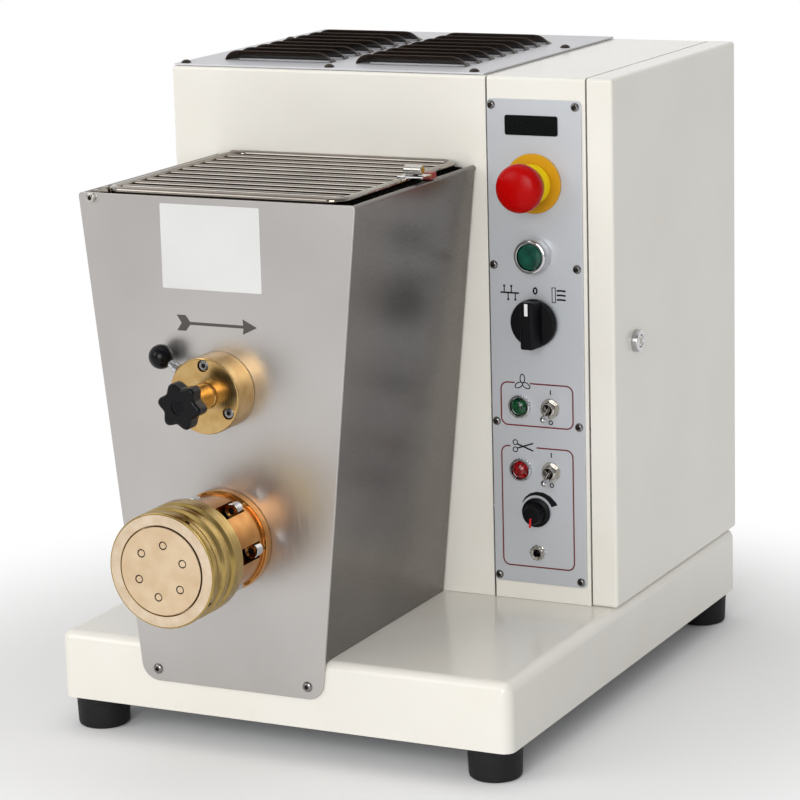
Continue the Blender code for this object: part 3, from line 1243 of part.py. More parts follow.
def star_knob():
    """A six-lobed knob with a stud that clamps the shaft's front end."""
    count = STAR_LOBES * 6
    outline = []
    for i in range(count):
        angle = math.tau * i / count
        radius = STAR_RADIUS + STAR_LOBE_HEIGHT * math.cos(STAR_LOBES * angle)
        outline.append((radius * math.cos(angle), radius * math.sin(angle)))
    low = MIXER_FLANGE_DEPTH + BOSS_LENGTH + GAP
    spot = (AXIS_X, FITTING_Y, MIXER_Z)
    middle = low + STAR_THICKNESS / 2
    lobes = place("lobes", outline_mesh("lobes", [outline], STAR_THICKNESS), None)
    soften(lobes, STAR_EDGE, 1, math.radians(60))
    mesh = copies("star_knob", baked(lobes), [spread(0, 0, middle)])
    knob = place("star_knob", mesh, BLACK_PLASTIC, at=spot, turn=TO_FRONT)
    reach = MIXER_FLANGE_DEPTH - STUD_REACH
    fuse(knob, rod_mesh("stud", STUD_RADIUS, reach, low + OVERRUN, 14), at=spot, turn=TO_FRONT)
    top = low + STAR_THICKNESS
    ring = rod_mesh("recess", STAR_RECESS_RADIUS, top - STAR_RECESS_DEPTH, top + OVERRUN, 20)
    cut(knob, ring, at=spot, turn=TO_FRONT)


def lock_plunger():
    """The sprung pin with a ball grip that holds the shaft's bearing in the flange."""
    inner = SHAFT_RADIUS + 2 * RUNNING_GAP
    collar_low = MIXER_FLANGE_RADIUS + PLUNGER_GUIDE_HEIGHT + GAP
    collar_high = collar_low + PLUNGER_COLLAR_LENGTH
    grip = PLUNGER_BALL_DISTANCE - PLUNGER_BALL_RADIUS
    stem = [(0, grip + OVERRUN), (PLUNGER_STEM_RADIUS, grip + OVERRUN), (PLUNGER_STEM_RADIUS, collar_high),
            (PLUNGER_COLLAR_RADIUS, collar_high), (PLUNGER_COLLAR_RADIUS, collar_low),
            (PLUNGER_STEM_RADIUS, collar_low), (PLUNGER_STEM_RADIUS, inner), (0, inner)]
    aim = Matrix.Rotation(PLUNGER_ANGLE, 4, "Z") @ Matrix.Rotation(math.pi / 2, 4, "Y")
    lift = spread(0, 0, MIXER_FLANGE_DEPTH / 2)
    spot = (AXIS_X, FITTING_Y, MIXER_Z)
    mesh = copies("lock_plunger", baked(turned("stem", stem, CHROME, steps=14)), [lift @ aim])
    plunger = place("lock_plunger", mesh, CHROME, at=spot, turn=TO_FRONT)
    shape = bmesh.new()
    bmesh.ops.create_uvsphere(shape, u_segments=16, v_segments=10, radius=PLUNGER_BALL_RADIUS)
    ball = mesh_of(shape, "ball")
    fuse(plunger, copies("ball", ball, [lift @ aim @ spread(0, 0, PLUNGER_BALL_DISTANCE)]), at=spot,
         turn=TO_FRONT)


def mixer_shaft():
    """The kneading shaft: paddles set one after another round the shaft, each at a slant."""
    back = GEAR_Y + GEAR_WIDTH / 2 + GEAR_HUB_LENGTH
    front = FITTING_Y - MIXER_FLANGE_DEPTH + BOSS_SEAT_DEPTH + GAP
    socket = STUD_RADIUS + GAP
    socket_end = FITTING_Y - MIXER_FLANGE_DEPTH + STUD_REACH + GAP
    length = back - front
    floor = back - socket_end
    profile = [(socket, length), (SHAFT_RADIUS, length), (SHAFT_RADIUS, 0), (0, 0), (0, floor),
               (socket, floor)]
    spot = (AXIS_X, back, MIXER_Z)
    shaft = turned("mixer_shaft", profile, TURNED_STEEL, at=spot, turn=TO_FRONT, steps=16, ring=True)
    middle = (tank_front_y() + tank_back_y()) / 2
    half_w, half_t = PADDLE_WIDTH / 2, PADDLE_THICKNESS / 2
    blade = block_mesh("blade", (-half_w, SHAFT_RADIUS / 2, -half_t), (half_w, PADDLE_REACH, half_t))
    for i in range(PADDLE_COUNT):
        y = middle + (i - (PADDLE_COUNT - 1) / 2) * PADDLE_PITCH
        aim = Matrix.Rotation(math.tau * i / PADDLE_COUNT, 4, "Z") @ Matrix.Rotation(PADDLE_TWIST, 4, "Y")
        fuse(shaft, copies("paddle", blade, [aim]), at=(AXIS_X, y, MIXER_Z), turn=TO_FRONT)


# Extruder

def bolt_spots():
    return circle(BARREL_BOLT_CIRCLE, BARREL_BOLTS, start=BARREL_BOLT_START)


def barrel_tail():
    """How far the barrel's tube runs back from the fitting face."""
    return tank_back_y() - FITTING_Y - OVERRUN


def extruder_barrel():
    bore = BARREL_BORE
    shoulder = BARREL_FLANGE_THICKNESS
    mouth = EXTRUDER_REACH - DIE_THICKNESS - GAP
    profile = [(bore, mouth), (BARREL_RADIUS, mouth), (BARREL_RADIUS, shoulder),
               (BARREL_FLANGE_RADIUS, shoulder),
               (BARREL_FLANGE_RADIUS, 0), (BARREL_TUBE_RADIUS, 0), (BARREL_TUBE_RADIUS, -barrel_tail()),
               (bore, -barrel_tail())]
    spot = (AXIS_X, FITTING_Y, AUGER_Z)
    barrel = turned("extruder_barrel", profile, BRONZE, at=spot, turn=TO_FRONT, steps=28, ring=True)
    pocket_top = EXTRUDER_REACH - NUT_DEPTH - OVERRUN
    pocket = rod_mesh("pocket", BOLT_POCKET_RADIUS, shoulder, pocket_top, 12)
    shank = rod_mesh("shank_hole", BOLT_SHANK_RADIUS + GAP, -OVERRUN, shoulder + OVERRUN, 8)
    cut(barrel, copies("pockets", pocket, [spread(x, z, 0) for x, z in bolt_spots()]), at=spot,
        turn=TO_FRONT)
    cut(barrel, copies("shanks", shank, [spread(x, z, 0) for x, z in bolt_spots()]), at=spot, turn=TO_FRONT)
    top = MIXER_Z - TANK_RADIUS - GAP
    half_w, half_l = THROAT_WIDTH / 2 + THROAT_WALL, THROAT_LENGTH / 2 + THROAT_WALL
    chute = block_mesh("chute", (AXIS_X - half_w, THROAT_Y - half_l, AUGER_Z + bore),
                       (AXIS_X + half_w, THROAT_Y + half_l, top))
    fuse(barrel, chute)
    feed = block_mesh("feed", (AXIS_X - THROAT_WIDTH / 2, THROAT_Y - THROAT_LENGTH / 2, AUGER_Z),
                      (AXIS_X + THROAT_WIDTH / 2, THROAT_Y + THROAT_LENGTH / 2, top + OVERRUN))
    cut(barrel, feed)


def barrel_bolts():
    bolt = round_bolt("barrel_bolt", BOLT_HEAD_RADIUS, BOLT_HEAD_HEIGHT, BOLT_SHANK_RADIUS,
                      BARREL_FLANGE_THICKNESS + STAINLESS + OVERRUN, CHROME, 10)
    for i, (x, z) in enumerate(bolt_spots()):
        spot = (AXIS_X + x, FITTING_Y - BARREL_FLANGE_THICKNESS - GAP, AUGER_Z + z)
        place("barrel_bolt_" + str(i + 1), bolt.copy(), CHROME, at=spot, turn=TO_FRONT)


def ring_nut():
    top = EXTRUDER_REACH
    low = top - NUT_DEPTH
    groove = NUT_GROOVE
    outer, inner = NUT_RADIUS, NUT_RADIUS - NUT_GROOVE_DEPTH
    lip = top - NUT_LIP_DEPTH
    rims = [top - share * NUT_DEPTH for share in NUT_RIM_SHARES]
    profile = [(NUT_LIP_RADIUS, top), (outer - groove / 2, top), (outer, top - groove / 2),
               (outer, rims[0]),
               (inner, rims[1]), (inner, rims[2]), (outer, rims[3]), (outer, rims[4]), (inner, rims[5]),
               (inner, rims[5] - groove), (outer, rims[5] - 2 * groove), (outer, low), (NUT_BORE, low),
               (NUT_BORE, lip), (NUT_LIP_RADIUS, lip)]
    turned("ring_nut", profile, BRASS, at=(AXIS_X, FITTING_Y, AUGER_Z), turn=TO_FRONT, steps=28, ring=True)


def insert_spots():
    return circle(DIE_INSERT_CIRCLE, DIE_INSERTS, start=DIE_INSERT_START)


def die_body():
    """The bronze die: its face fills the nut's opening, its shoulder is clamped by the nut's lip."""
    top = EXTRUDER_REACH - DIE_SINK
    shoulder = EXTRUDER_REACH - NUT_LIP_DEPTH - GAP
    low = EXTRUDER_REACH - DIE_THICKNESS
    hollow = top - DIE_SKIN
    profile = [(0, top), (DIE_FACE_RADIUS, top), (DIE_FACE_RADIUS, shoulder), (DIE_RADIUS, shoulder),
               (DIE_RADIUS, low), (DIE_HOLLOW_RADIUS, low), (DIE_HOLLOW_RADIUS, hollow), (0, hollow)]
    spot = (AXIS_X, FITTING_Y, AUGER_Z)
    die = turned("die_body", profile, BRASS, at=spot, turn=TO_FRONT, steps=28)
    spots = [spread(x, z, 0) for x, z in insert_spots()]
    seat = rod_mesh("insert_seat", DIE_INSERT_RADIUS, top - DIE_INSERT_DEPTH, top + OVERRUN, 10)
    cut(die, copies("insert_seats", seat, spots), at=spot, turn=TO_FRONT)
    bore = rod_mesh("insert_bore", DIE_INSERT_BORE, hollow - OVERRUN, top, 6)
    cut(die, copies("insert_bores", bore, spots), at=spot, turn=TO_FRONT)


def auger():
    """The extrusion screw: a core with one flight wound round it, and a plain shaft to the drive."""
    mouth = EXTRUDER_REACH - DIE_THICKNESS - AUGER_TIP
    drive_end = GEARBOX_Y - FITTING_Y
    back = -barrel_tail() + OVERRUN
    profile = [(0, mouth), (AUGER_TIP_RADIUS, mouth), (AUGER_CORE_RADIUS, mouth - AUGER_TIP),
               (AUGER_CORE_RADIUS, back), (SHAFT_RADIUS, back), (SHAFT_RADIUS, -drive_end), (0, -drive_end)]
    spot = (AXIS_X, FITTING_Y, AUGER_Z)
    core = turned("auger", profile, TURNED_STEEL, at=spot, turn=TO_FRONT, steps=14)
    length = AUGER_PITCH * AUGER_TURNS
    start = mouth - AUGER_TIP - length - AUGER_FLIGHT_WIDTH
    inside = AUGER_TIP_RADIUS
    half = AUGER_FLIGHT_WIDTH / 2
    shape = bmesh.new()
    corners = [(inside, start - half), (AUGER_FLIGHT_RADIUS, start - half / 2),
               (AUGER_FLIGHT_RADIUS, start + half / 2), (inside, start + half)]
    face = shape.faces.new([shape.verts.new((radius, 0, height)) for radius, height in corners])
    steps = 12 * AUGER_TURNS
    bmesh.ops.spin(shape, geom=[face] + face.edges[:] + face.verts[:], cent=(0, 0, 0), axis=(0, 0, 1),
                   dvec=(0, 0, length / steps), angle=math.tau * AUGER_TURNS, steps=steps,
                   use_duplicate=False)
    open_edges = [edge for edge in shape.edges if edge.is_boundary]
    if open_edges:
        bmesh.ops.holes_fill(shape, edges=open_edges, sides=0)
    bmesh.ops.recalc_face_normals(shape, faces=shape.faces)
    fuse(core, mesh_of(shape, "flight"), at=spot, turn=TO_FRONT)


# Drive

def gear_outline(teeth):
    """Straight-flanked teeth: four points a tooth, a little slimmer than half the pitch."""
    pitch_radius = GEAR_MODULE * teeth / 2
    tip = pitch_radius + GEAR_MODULE * ADDENDUM_SHARE
    root = pitch_radius - GEAR_MODULE * DEDENDUM_SHARE
    step = math.tau / teeth
    points = []
    for i in range(teeth):
        for share, radius in ((-TOOTH_ROOT_SHARE, root), (-TOOTH_TIP_SHARE, tip),
                              (TOOTH_TIP_SHARE, tip), (TOOTH_ROOT_SHARE, root)):
            angle = step * (i + share / 2)
            points.append((radius * math.cos(angle), radius * math.sin(angle)))
    return points


def gear(name, teeth, z):
    bore = circle(SHAFT_RADIUS + GAP, 18)
    mesh = outline_mesh(name, [gear_outline(teeth), bore], GEAR_WIDTH)
    place(name, mesh, TURNED_STEEL, at=(AXIS_X, GEAR_Y, z), turn=TO_FRONT)


def frame_y():
    return TOWER_FRONT_Y + SHEET + GAP + BEARING_WIDTH / 2


def drive_frame():
    """The upright plate that carries both bearings, with a foot on the base."""
    edge = [(AXIS_X - FRAME_WIDTH / 2, TOWER_Z), (AXIS_X + FRAME_WIDTH / 2, TOWER_Z),
            (AXIS_X + FRAME_WIDTH / 2, FRAME_TOP_Z), (AXIS_X - FRAME_WIDTH / 2, FRAME_TOP_Z)]
    mesh = outline_mesh("drive_frame", [edge], FRAME_THICKNESS)
    frame = place("drive_frame", mesh, ZINC, at=(0, frame_y(), 0), turn=TO_FRONT)
    foot = block_mesh("frame_foot", (AXIS_X - FRAME_WIDTH / 2, frame_y(), TOWER_Z),
                      (AXIS_X + FRAME_WIDTH / 2, frame_y() + FRAME_FOOT, TOWER_Z + FRAME_THICKNESS))
    fuse(frame, foot)
    half = BEARING_WIDTH / 2
    housing = rod_mesh("bearing_housing", BEARING_RADIUS, -half, half, 20)
    bore = rod_mesh("bearing_bore", SHAFT_RADIUS + RUNNING_GAP, -half - OVERRUN, half + OVERRUN, 20)
    for z in (MIXER_Z, AUGER_Z):
        fuse(frame, housing.copy(), at=(AXIS_X, frame_y(), z), turn=TO_FRONT)
        cut(frame, bore.copy(), at=(AXIS_X, frame_y(), z), turn=TO_FRONT)


def gearmotor():
    """Worm gearbox on the auger's shaft with its motor standing on top."""
    half_w, half_d = GEARBOX_WIDTH / 2, GEARBOX_DEPTH / 2
    top = TOWER_Z + GEARBOX_HEIGHT
    box = place("gearmotor", block_mesh("gearbox", (AXIS_X - half_w, GEARBOX_Y - half_d, TOWER_Z),
                                        (AXIS_X + half_w, GEARBOX_Y + half_d, top)), CAST_IRON)
    soften(box, GEARBOX_EDGE, 1)
    count = MOTOR_FINS * 4
    outline = []
    for i in range(count):
        radius = MOTOR_RADIUS - (MOTOR_FIN_HEIGHT if i % 4 > 1 else 0)
        outline.append((radius * math.cos(math.tau * i / count), radius * math.sin(math.tau * i / count)))
    fins = outline_mesh("motor_fins", [outline], MOTOR_HEIGHT)
    fuse(box, fins, at=(AXIS_X, GEARBOX_Y, top + MOTOR_FLANGE_THICKNESS / 2 + MOTOR_HEIGHT / 2))
    flange = rod_mesh("motor_flange", MOTOR_FLANGE_RADIUS, -GEARBOX_EDGE, MOTOR_FLANGE_THICKNESS, 20)
    fuse(box, flange, at=(AXIS_X, GEARBOX_Y, top))
    cowl = rod_mesh("motor_cowl", MOTOR_RADIUS + SHEET, 0, MOTOR_COWL_HEIGHT, 24,
                    MOTOR_RADIUS - MOTOR_FIN_HEIGHT)
    fuse(box, cowl, at=(AXIS_X, GEARBOX_Y, top + MOTOR_HEIGHT))
    bore = rod_mesh("gearbox_bore", SHAFT_RADIUS + RUNNING_GAP, -half_d - OVERRUN, half_d + OVERRUN, 20)
    cut(box, bore, at=(AXIS_X, GEARBOX_Y, AUGER_Z), turn=TO_FRONT)


def cooling_fan():
    x = VENT_CENTRE_X - LOUVRE_ARRAY_OFFSET
    top = TOWER_TOP_Z
    low = top - FAN_HEIGHT
    frame_edge = rounded(rectangle(FAN_SIZE, FAN_SIZE), [PANEL_EDGE] * 4, 2)
    mesh = outline_mesh("fan_frame", [frame_edge, circle(FAN_BORE, 28)], FAN_HEIGHT)
    frame = place("fan_frame", mesh, BLACK_PLASTIC, at=(x, FAN_Y, (top + low) / 2))
    hub = rod_mesh("fan_hub", FAN_HUB_RADIUS, 0, FAN_HUB_HEIGHT, 16)
    fuse(frame, hub, at=(x, FAN_Y, low))
    half, reach = FAN_STRUT_WIDTH / 2, FAN_BORE + FAN_STRUT_WIDTH / 2
    for turn in (0, math.pi / 2):
        strut = block_mesh("strut", (-reach, -half, 0), (reach, half, FAN_STRUT_WIDTH / 2))
        fuse(frame, strut, at=(x, FAN_Y, low + MERGE), turn=(0, 0, turn + math.pi / 4))
    rotor_low = low + FAN_HUB_HEIGHT + GAP
    rotor_top = top - FAN_TIP_GAP
    rotor = place("fan_rotor", rod_mesh("fan_rotor", FAN_HUB_RADIUS, 0, rotor_top - rotor_low, 16),
                  BLACK_PLASTIC,
                  at=(x, FAN_Y, rotor_low))
    span = FAN_BORE - FAN_TIP_GAP
    chord = FAN_BLADE_CHORD
    half_t = FAN_BLADE_THICKNESS / 2
    blade = block_mesh("fan_blade", (FAN_HUB_RADIUS / 2, -chord / 2, -half_t), (span, chord / 2, half_t))
    for i in range(FAN_BLADES):
        aim = Matrix.Rotation(math.tau * i / FAN_BLADES, 4, "Z") @ Matrix.Rotation(FAN_BLADE_TILT, 4, "X")
        fuse(rotor, copies("blade", blade, [aim]), at=(x, FAN_Y, (rotor_low + rotor_top) / 2))


# Electrical compartment

def electrical_panel():
    back = TOWER_BACK_Y - SHEET - TRAY_MARGIN
    front = TRAY_FRONT_Y
    tray = sheet_box("electrical_panel", (TRAY_X, front, TOWER_Z),
                     (TRAY_X + TRAY_RETURN, back, TOWER_Z + TRAY_HEIGHT),
                     (RIGHT,), ZINC, edge=SHEET, wall=SHEET)
    seat = TRAY_X + SHEET / 2
    middle = (front + back) / 2
    base = TOWER_Z + TRAY_RETURN
    row = base + DRIVE_HEIGHT + TRAY_RETURN
    rail_x = seat + RAIL_DEPTH
    low = row + (CONTACTOR_HEIGHT - RAIL_WIDTH) / 2
    rail = block_mesh("rail", (seat, front + TRAY_RETURN, low),
                      (rail_x, back - TRAY_RETURN, low + RAIL_WIDTH))
    fuse(tray, rail)
    fuse(tray, block_mesh("speed_drive", (seat, middle - DRIVE_WIDTH / 2, base),
                          (seat + DRIVE_DEPTH, middle + DRIVE_WIDTH / 2, base + DRIVE_HEIGHT)))
    for side in (-1, 1):
        y = middle + side * CONTACTOR_STEP / 2
        fuse(tray, block_mesh("contactor", (rail_x - SHEET, y - CONTACTOR_WIDTH / 2, row),
                              (rail_x + CONTACTOR_DEPTH, y + CONTACTOR_WIDTH / 2, row + CONTACTOR_HEIGHT)))
    row += CONTACTOR_HEIGHT + TRAY_RETURN
    fuse(tray, block_mesh("terminal_block", (seat, middle - TERMINAL_WIDTH / 2, row),
                          (seat + TERMINAL_DEPTH, middle + TERMINAL_WIDTH / 2, row + TERMINAL_HEIGHT)))


base_tray()
base_bottom_plate()
feet()
main_cover()
vent_plate()
control_column()
cable_gland()
side_door()
door_hinge()
door_lock()
control_plate()
emergency_stop()
start_button()
selector()
lamps()
toggle_switches()
speed_knob()
jack_socket()
hopper_front_plate()
hopper_shell()
mixing_tank()
grille_lid()
lid_hinge_rod()
lid_interlock()
mixer_flange()
star_knob()
lock_plunger()
mixer_shaft()
extruder_barrel()
barrel_bolts()
ring_nut()
die_body()
auger()
gear("mixer_gear", MIXER_TEETH, MIXER_Z)
gear("auger_gear", AUGER_TEETH, AUGER_Z)
drive_frame()
gearmotor()
cooling_fan()
electrical_panel()
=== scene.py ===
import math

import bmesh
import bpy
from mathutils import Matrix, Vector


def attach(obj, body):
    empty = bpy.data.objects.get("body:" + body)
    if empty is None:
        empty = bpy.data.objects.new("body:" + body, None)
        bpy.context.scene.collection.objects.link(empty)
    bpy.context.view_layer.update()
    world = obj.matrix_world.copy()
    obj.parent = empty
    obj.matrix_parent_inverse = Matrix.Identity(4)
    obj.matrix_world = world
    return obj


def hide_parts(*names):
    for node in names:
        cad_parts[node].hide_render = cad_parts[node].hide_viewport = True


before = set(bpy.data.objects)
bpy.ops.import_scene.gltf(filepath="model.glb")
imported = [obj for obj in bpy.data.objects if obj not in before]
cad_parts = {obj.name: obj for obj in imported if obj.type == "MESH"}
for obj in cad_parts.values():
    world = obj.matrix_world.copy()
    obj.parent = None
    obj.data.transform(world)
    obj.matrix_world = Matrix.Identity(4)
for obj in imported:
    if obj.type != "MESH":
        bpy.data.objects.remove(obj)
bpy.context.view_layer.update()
# %% [markdown]
# # An electric pasta maker
#
# The machine kneads dough in a steel tank and presses it through a bronze die.
# Its solids come from a CAD model that is already true to size, so this lesson is about dressing them:
# which pieces keep their CAD shape, which ones are turned again with finer steps,
# and what gives paint, brushed steel, turned brass and moulded plastic their own look.

# %% [markdown]
# ## One frame for every place
#
# The machine is laid out in millimetres from the middle of its base, the way a drawing would be.
# The CAD model's origin is the middle of the whole outline, extruder and cable gland included,
# so one small function turns a drawing place into a scene place.
# Three turns cover the whole machine: fittings face the front, the right or the sky.

# %% From drawing millimetres to the scene
MM = 0.001
DRAWING_ORIGIN = Vector((-2.5, 42.0, 0.0)) * MM


def at(x, y, z):
    """A place on the drawing, in millimetres, as a place in the scene."""
    return DRAWING_ORIGIN + Vector((x, y, z)) * MM


def facing_front(x, y, z):
    return Matrix.Translation(at(x, y, z)) @ Matrix.Rotation(math.pi / 2, 4, "X")


def facing_right(x, y, z):
    return Matrix.Translation(at(x, y, z)) @ Matrix.Rotation(math.pi / 2, 4, "Y")


def facing_up(x, y, z):
    return Matrix.Translation(at(x, y, z))


print("drawing origin in metres", tuple(DRAWING_ORIGIN))

# %% [markdown]
# ## Colours and nodes
#
# Colours are written as the eye sees them, in sRGB, and turned to linear light by one function.
# A material is a small tree of nodes, so one helper that adds a node, sets it and links it
# keeps every tree readable.

# %% Colour and node helpers
def colour(text):
    """An sRGB hex colour in linear light."""
    shares = [int(text[i:i + 2], 16) / 255 for i in (1, 3, 5)]
    return [c / 12.92 if c <= 0.04045 else ((c + 0.055) / 1.055) ** 2.4 for c in shares] + [1.0]


def add(tree, kind, inputs=None, **settings):
    """Adds a node; an input is a value or another node's output."""
    node = tree.nodes.new("ShaderNode" + kind)
    for key, value in settings.items():
        setattr(node, key, value)
    for key, value in (inputs or {}).items():
        if isinstance(value, bpy.types.NodeSocket):
            tree.links.new(value, node.inputs[key])
        else:
            node.inputs[key].default_value = value
    return node


def ramp(node, stops):
    """Sets a colour ramp's stops from (place, hex colour) pairs."""
    for element, (place, text) in zip(node.color_ramp.elements, stops):
        element.position = place
        element.color = colour(text)


# %% [markdown]
# ## What a surface is made of
#
# Most finishes here are one idea with different numbers: a broad cloud that shifts the colour a little,
# and a fine grain that sets roughness and height. The grain's size is a real one in millimetres,
# so the same recipe serves orange peel on paint (about 2 mm) and spark texture on plastic (0.8 mm).

# %% A grained finish
def grained(name, dark, light, grain_mm, rough, height_mm, metallic=0.0, stretch=(1, 1, 1), swing=0.06,
            cloud_mm=90, ior=1.5, coat=0.0, gloss=0.5):
    made = bpy.data.materials.new(name)
    made.use_nodes = True
    tree = made.node_tree
    shader = tree.nodes["Principled BSDF"]
    where = add(tree, "TexCoord").outputs["Object"]
    drawn = add(tree, "Mapping", {"Vector": where, "Scale": stretch}).outputs[0]
    cloud = add(tree, "TexNoise", {"Vector": where, "Scale": 1 / (cloud_mm * MM), "Detail": 3.0})
    tint = add(tree, "ValToRGB", {"Fac": cloud.outputs["Fac"]})
    ramp(tint, [(0.3, dark), (0.7, light)])
    grain = add(tree, "TexNoise", {"Vector": drawn, "Scale": 1 / (grain_mm * MM), "Detail": 2.0})
    worn = add(tree, "MapRange", {"Value": grain.outputs["Fac"], "From Min": 0.3, "From Max": 0.7,
                                  "To Min": rough - swing, "To Max": rough + swing})
    relief = add(tree, "Bump", {"Height": grain.outputs["Fac"], "Distance": height_mm * MM, "Strength": 1.0})
    tree.links.new(tint.outputs[0], shader.inputs["Base Color"])
    tree.links.new(worn.outputs[0], shader.inputs["Roughness"])
    tree.links.new(relief.outputs[0], shader.inputs["Normal"])
    shader.inputs["Metallic"].default_value = metallic
    if not metallic:
        shader.inputs["IOR"].default_value = ior
        shader.inputs["Specular IOR Level"].default_value = gloss
    shader.inputs["Coat Weight"].default_value = coat
    return made


# %% [markdown]
# ## Sheet and paint
#
# The housing is steel sheet with a cream powder coat: glossy, with a faint orange peel.
# The top plate has a cooler, paler coat. The hopper is satin stainless steel, whose finish is hundreds of
# parallel scratches from a belt, so its grain is stretched along one direction.

# %% Paint and sheet finishes
CREAM_POWDER_COAT = grained("cream_powder_coat", "#EAE6DC", "#EEEBE3", 2.2, 0.2, 0.003, swing=0.03, coat=0.2)
PALE_POWDER_COAT = grained("pale_grey_powder_coat", "#D2D2D6", "#D9D9DD", 2.2, 0.4, 0.003, swing=0.03)
# The belt's scratches are 0.1 mm wide; they are drawn at 0.7 mm, or the render would not show them.
SATIN_STAINLESS = grained("satin_stainless_steel", "#BAB6B3", "#C8C4C1", 0.7, 0.36, 0.004, 1.0,
                          stretch=(1, 1, 0.03), swing=0.05, cloud_mm=160)
# The tank's steel is coloured dark as painted shade, for the shade under the hopper walls and the grille.
TANK_STEEL_PAINTED_SHADE = grained("stainless_steel_with_painted_tank_shade", "#4F4B48", "#615D59", 1.2, 0.28, 0.004, 1.0, swing=0.06)
# The side sheet is the same stainless steel as the front, coloured darker and greyer: painted shade and painted
# reflection of the dim room it faces.
SIDE_STAINLESS_PAINTED_SHADE = grained("stainless_steel_with_painted_side_shade", "#75706D", "#827D79", 0.9, 0.3, 0.003, 1.0, swing=0.05,
                         cloud_mm=120)
ROUND_BAR_STEEL = grained("drawn_round_bar_steel", "#8C857D", "#A39C94", 0.9, 0.11, 0.001, 1.0,
                          stretch=(0.1, 1, 1))
GALVANISED_SHEET = grained("galvanised_sheet", "#8E9194", "#A9ACAE", 6.0, 0.42, 0.004, 0.9, swing=0.08,
                           cloud_mm=14)
# The plate is aluminium, blasted and clear anodised: an even sparkle with no direction.
ANODISED_ALUMINIUM = grained("anodised_aluminium_plate", "#C4C7CC", "#CCCFD3", 0.9, 0.42, 0.005, 0.45,
                             swing=0.05,
                             cloud_mm=200)
print("sheet finishes made")

# %% [markdown]
# ## Plastics, rubber and glass-like lenses
#
# Moulded pieces get their character from the mould: a sparked mould leaves a fine matt grain on the black
# knobs, a polished one leaves the emergency button glossy. The lamp lenses are tinted clear plastic.

# %% Moulded finishes
BLACK_NYLON = grained("black_sparked_nylon", "#050508", "#0C0C10", 0.8, 0.4, 0.01, swing=0.07, gloss=0.15)
BLACK_PHENOLIC = grained("black_phenolic_resin", "#030306", "#08080C", 3.0, 0.22, 0.004, swing=0.05, gloss=0.2)
BLACK_RUBBER = grained("black_moulded_rubber", "#101012", "#19191B", 1.2, 0.62, 0.03, swing=0.08, gloss=0.3)
SIGNAL_RED = grained("signal_red_polished_plastic", "#A80000", "#B60000", 4.0, 0.26, 0.003, swing=0.03,
                     gloss=0.12)
SIGNAL_YELLOW = grained("signal_yellow_plastic", "#C68E00", "#D29C00", 1.2, 0.4, 0.006, swing=0.05, gloss=0.3)
BRIGHT_YELLOW = grained("bright_yellow_plastic", "#FFE000", "#FFEC10", 1.2, 0.34, 0.006, swing=0.05)
SENSOR_RED = grained("red_sensor_housing", "#8A2A28", "#A03A36", 1.2, 0.4, 0.006)
DRIVE_GREY = grained("dark_grey_drive_housing", "#2B2D30", "#383B3F", 1.0, 0.5, 0.02)
SWITCHGEAR_GREY = grained("pale_switchgear_plastic", "#A9ACA8", "#B9BCB8", 1.0, 0.48, 0.01)
BLANK_LABEL = grained("blank_vinyl_label", "#D0D0CF", "#D8D8D7", 1.4, 0.4, 0.002)
BLANK_BADGE = grained("blank_dark_badge", "#050807", "#0A0F0D", 1.4, 0.3, 0.002, gloss=0.1)
BLACK_INK = grained("black_screen_ink", "#08090B", "#111216", 1.0, 0.6, 0.002, gloss=0.2)
# Dark brown of the louvre hoods: their own colour outside, painted shade inside their mouths.
DARK_BROWN_HOOD_AND_SHADE = grained("dark_brown_hood_and_painted_shade", "#2A1D17", "#38291F", 1.5, 0.34, 0.006, gloss=0.4)
RED_INK = grained("dark_red_screen_ink", "#641018", "#74161F", 1.0, 0.5, 0.002)
WHITE_INK = grained("white_filling_paint", "#E8E8E8", "#F6F6F6", 1.0, 0.5, 0.002)
POINTER_RED = grained("red_pointer_insert", "#C8101A", "#DC1822", 1.0, 0.35, 0.002)


# %% A tinted clear lens
def tinted_lens(name, deep, painted_glint, facet_mm, relief_mm):
    """Clear plastic seen over a dark lamp: a glossy skin in a deep tint, its cells painted brighter at their
    middles as painted glints of light through a moulded prism.
    """
    made = bpy.data.materials.new(name)
    made.use_nodes = True
    tree = made.node_tree
    shader = tree.nodes["Principled BSDF"]
    where = add(tree, "TexCoord").outputs["Object"]
    cells = add(tree, "TexVoronoi", {"Vector": where, "Scale": 1 / (facet_mm * MM)})
    tint = add(tree, "ValToRGB", {"Fac": cells.outputs["Distance"]})
    # The deep colour is the lens's tint; the bright one, at each cell's middle, is a painted glint.
    ramp(tint, [(0.1, painted_glint), (0.75, deep)])
    relief = add(tree, "Bump", {"Height": cells.outputs["Distance"], "Distance": relief_mm * MM,
                                "Strength": 1.0})
    tree.links.new(tint.outputs[0], shader.inputs["Base Color"])
    tree.links.new(relief.outputs[0], shader.inputs["Normal"])
    shader.inputs["Roughness"].default_value = 0.08
    shader.inputs["IOR"].default_value = 1.49
    shader.inputs["Coat Weight"].default_value = 0.1
    return made


# Each lens carries painted glints in its cells.
GREEN_ACRYLIC = tinted_lens("green_tinted_acrylic", "#003A2C", "#035443", 9.0, 0.002)
GREEN_JEWEL = tinted_lens("green_lamp_jewel", "#001E12", "#006436", 2.0, 0.04)
RED_JEWEL = tinted_lens("red_lamp_jewel", "#4E0003", "#BC0312", 2.0, 0.04)
print("lens finishes made")

# %% [markdown]
# ## Turned metal
#
# A lathe leaves one continuous groove. On a flat face it reads as rings, on a round side as hoops.
# Adding the distance from the axis to the distance along it gives a number that climbs along both,
# and a noise that depends on that number alone draws the groove. The real feed is about 0.1 mm;
# it is drawn coarser so that it shows.

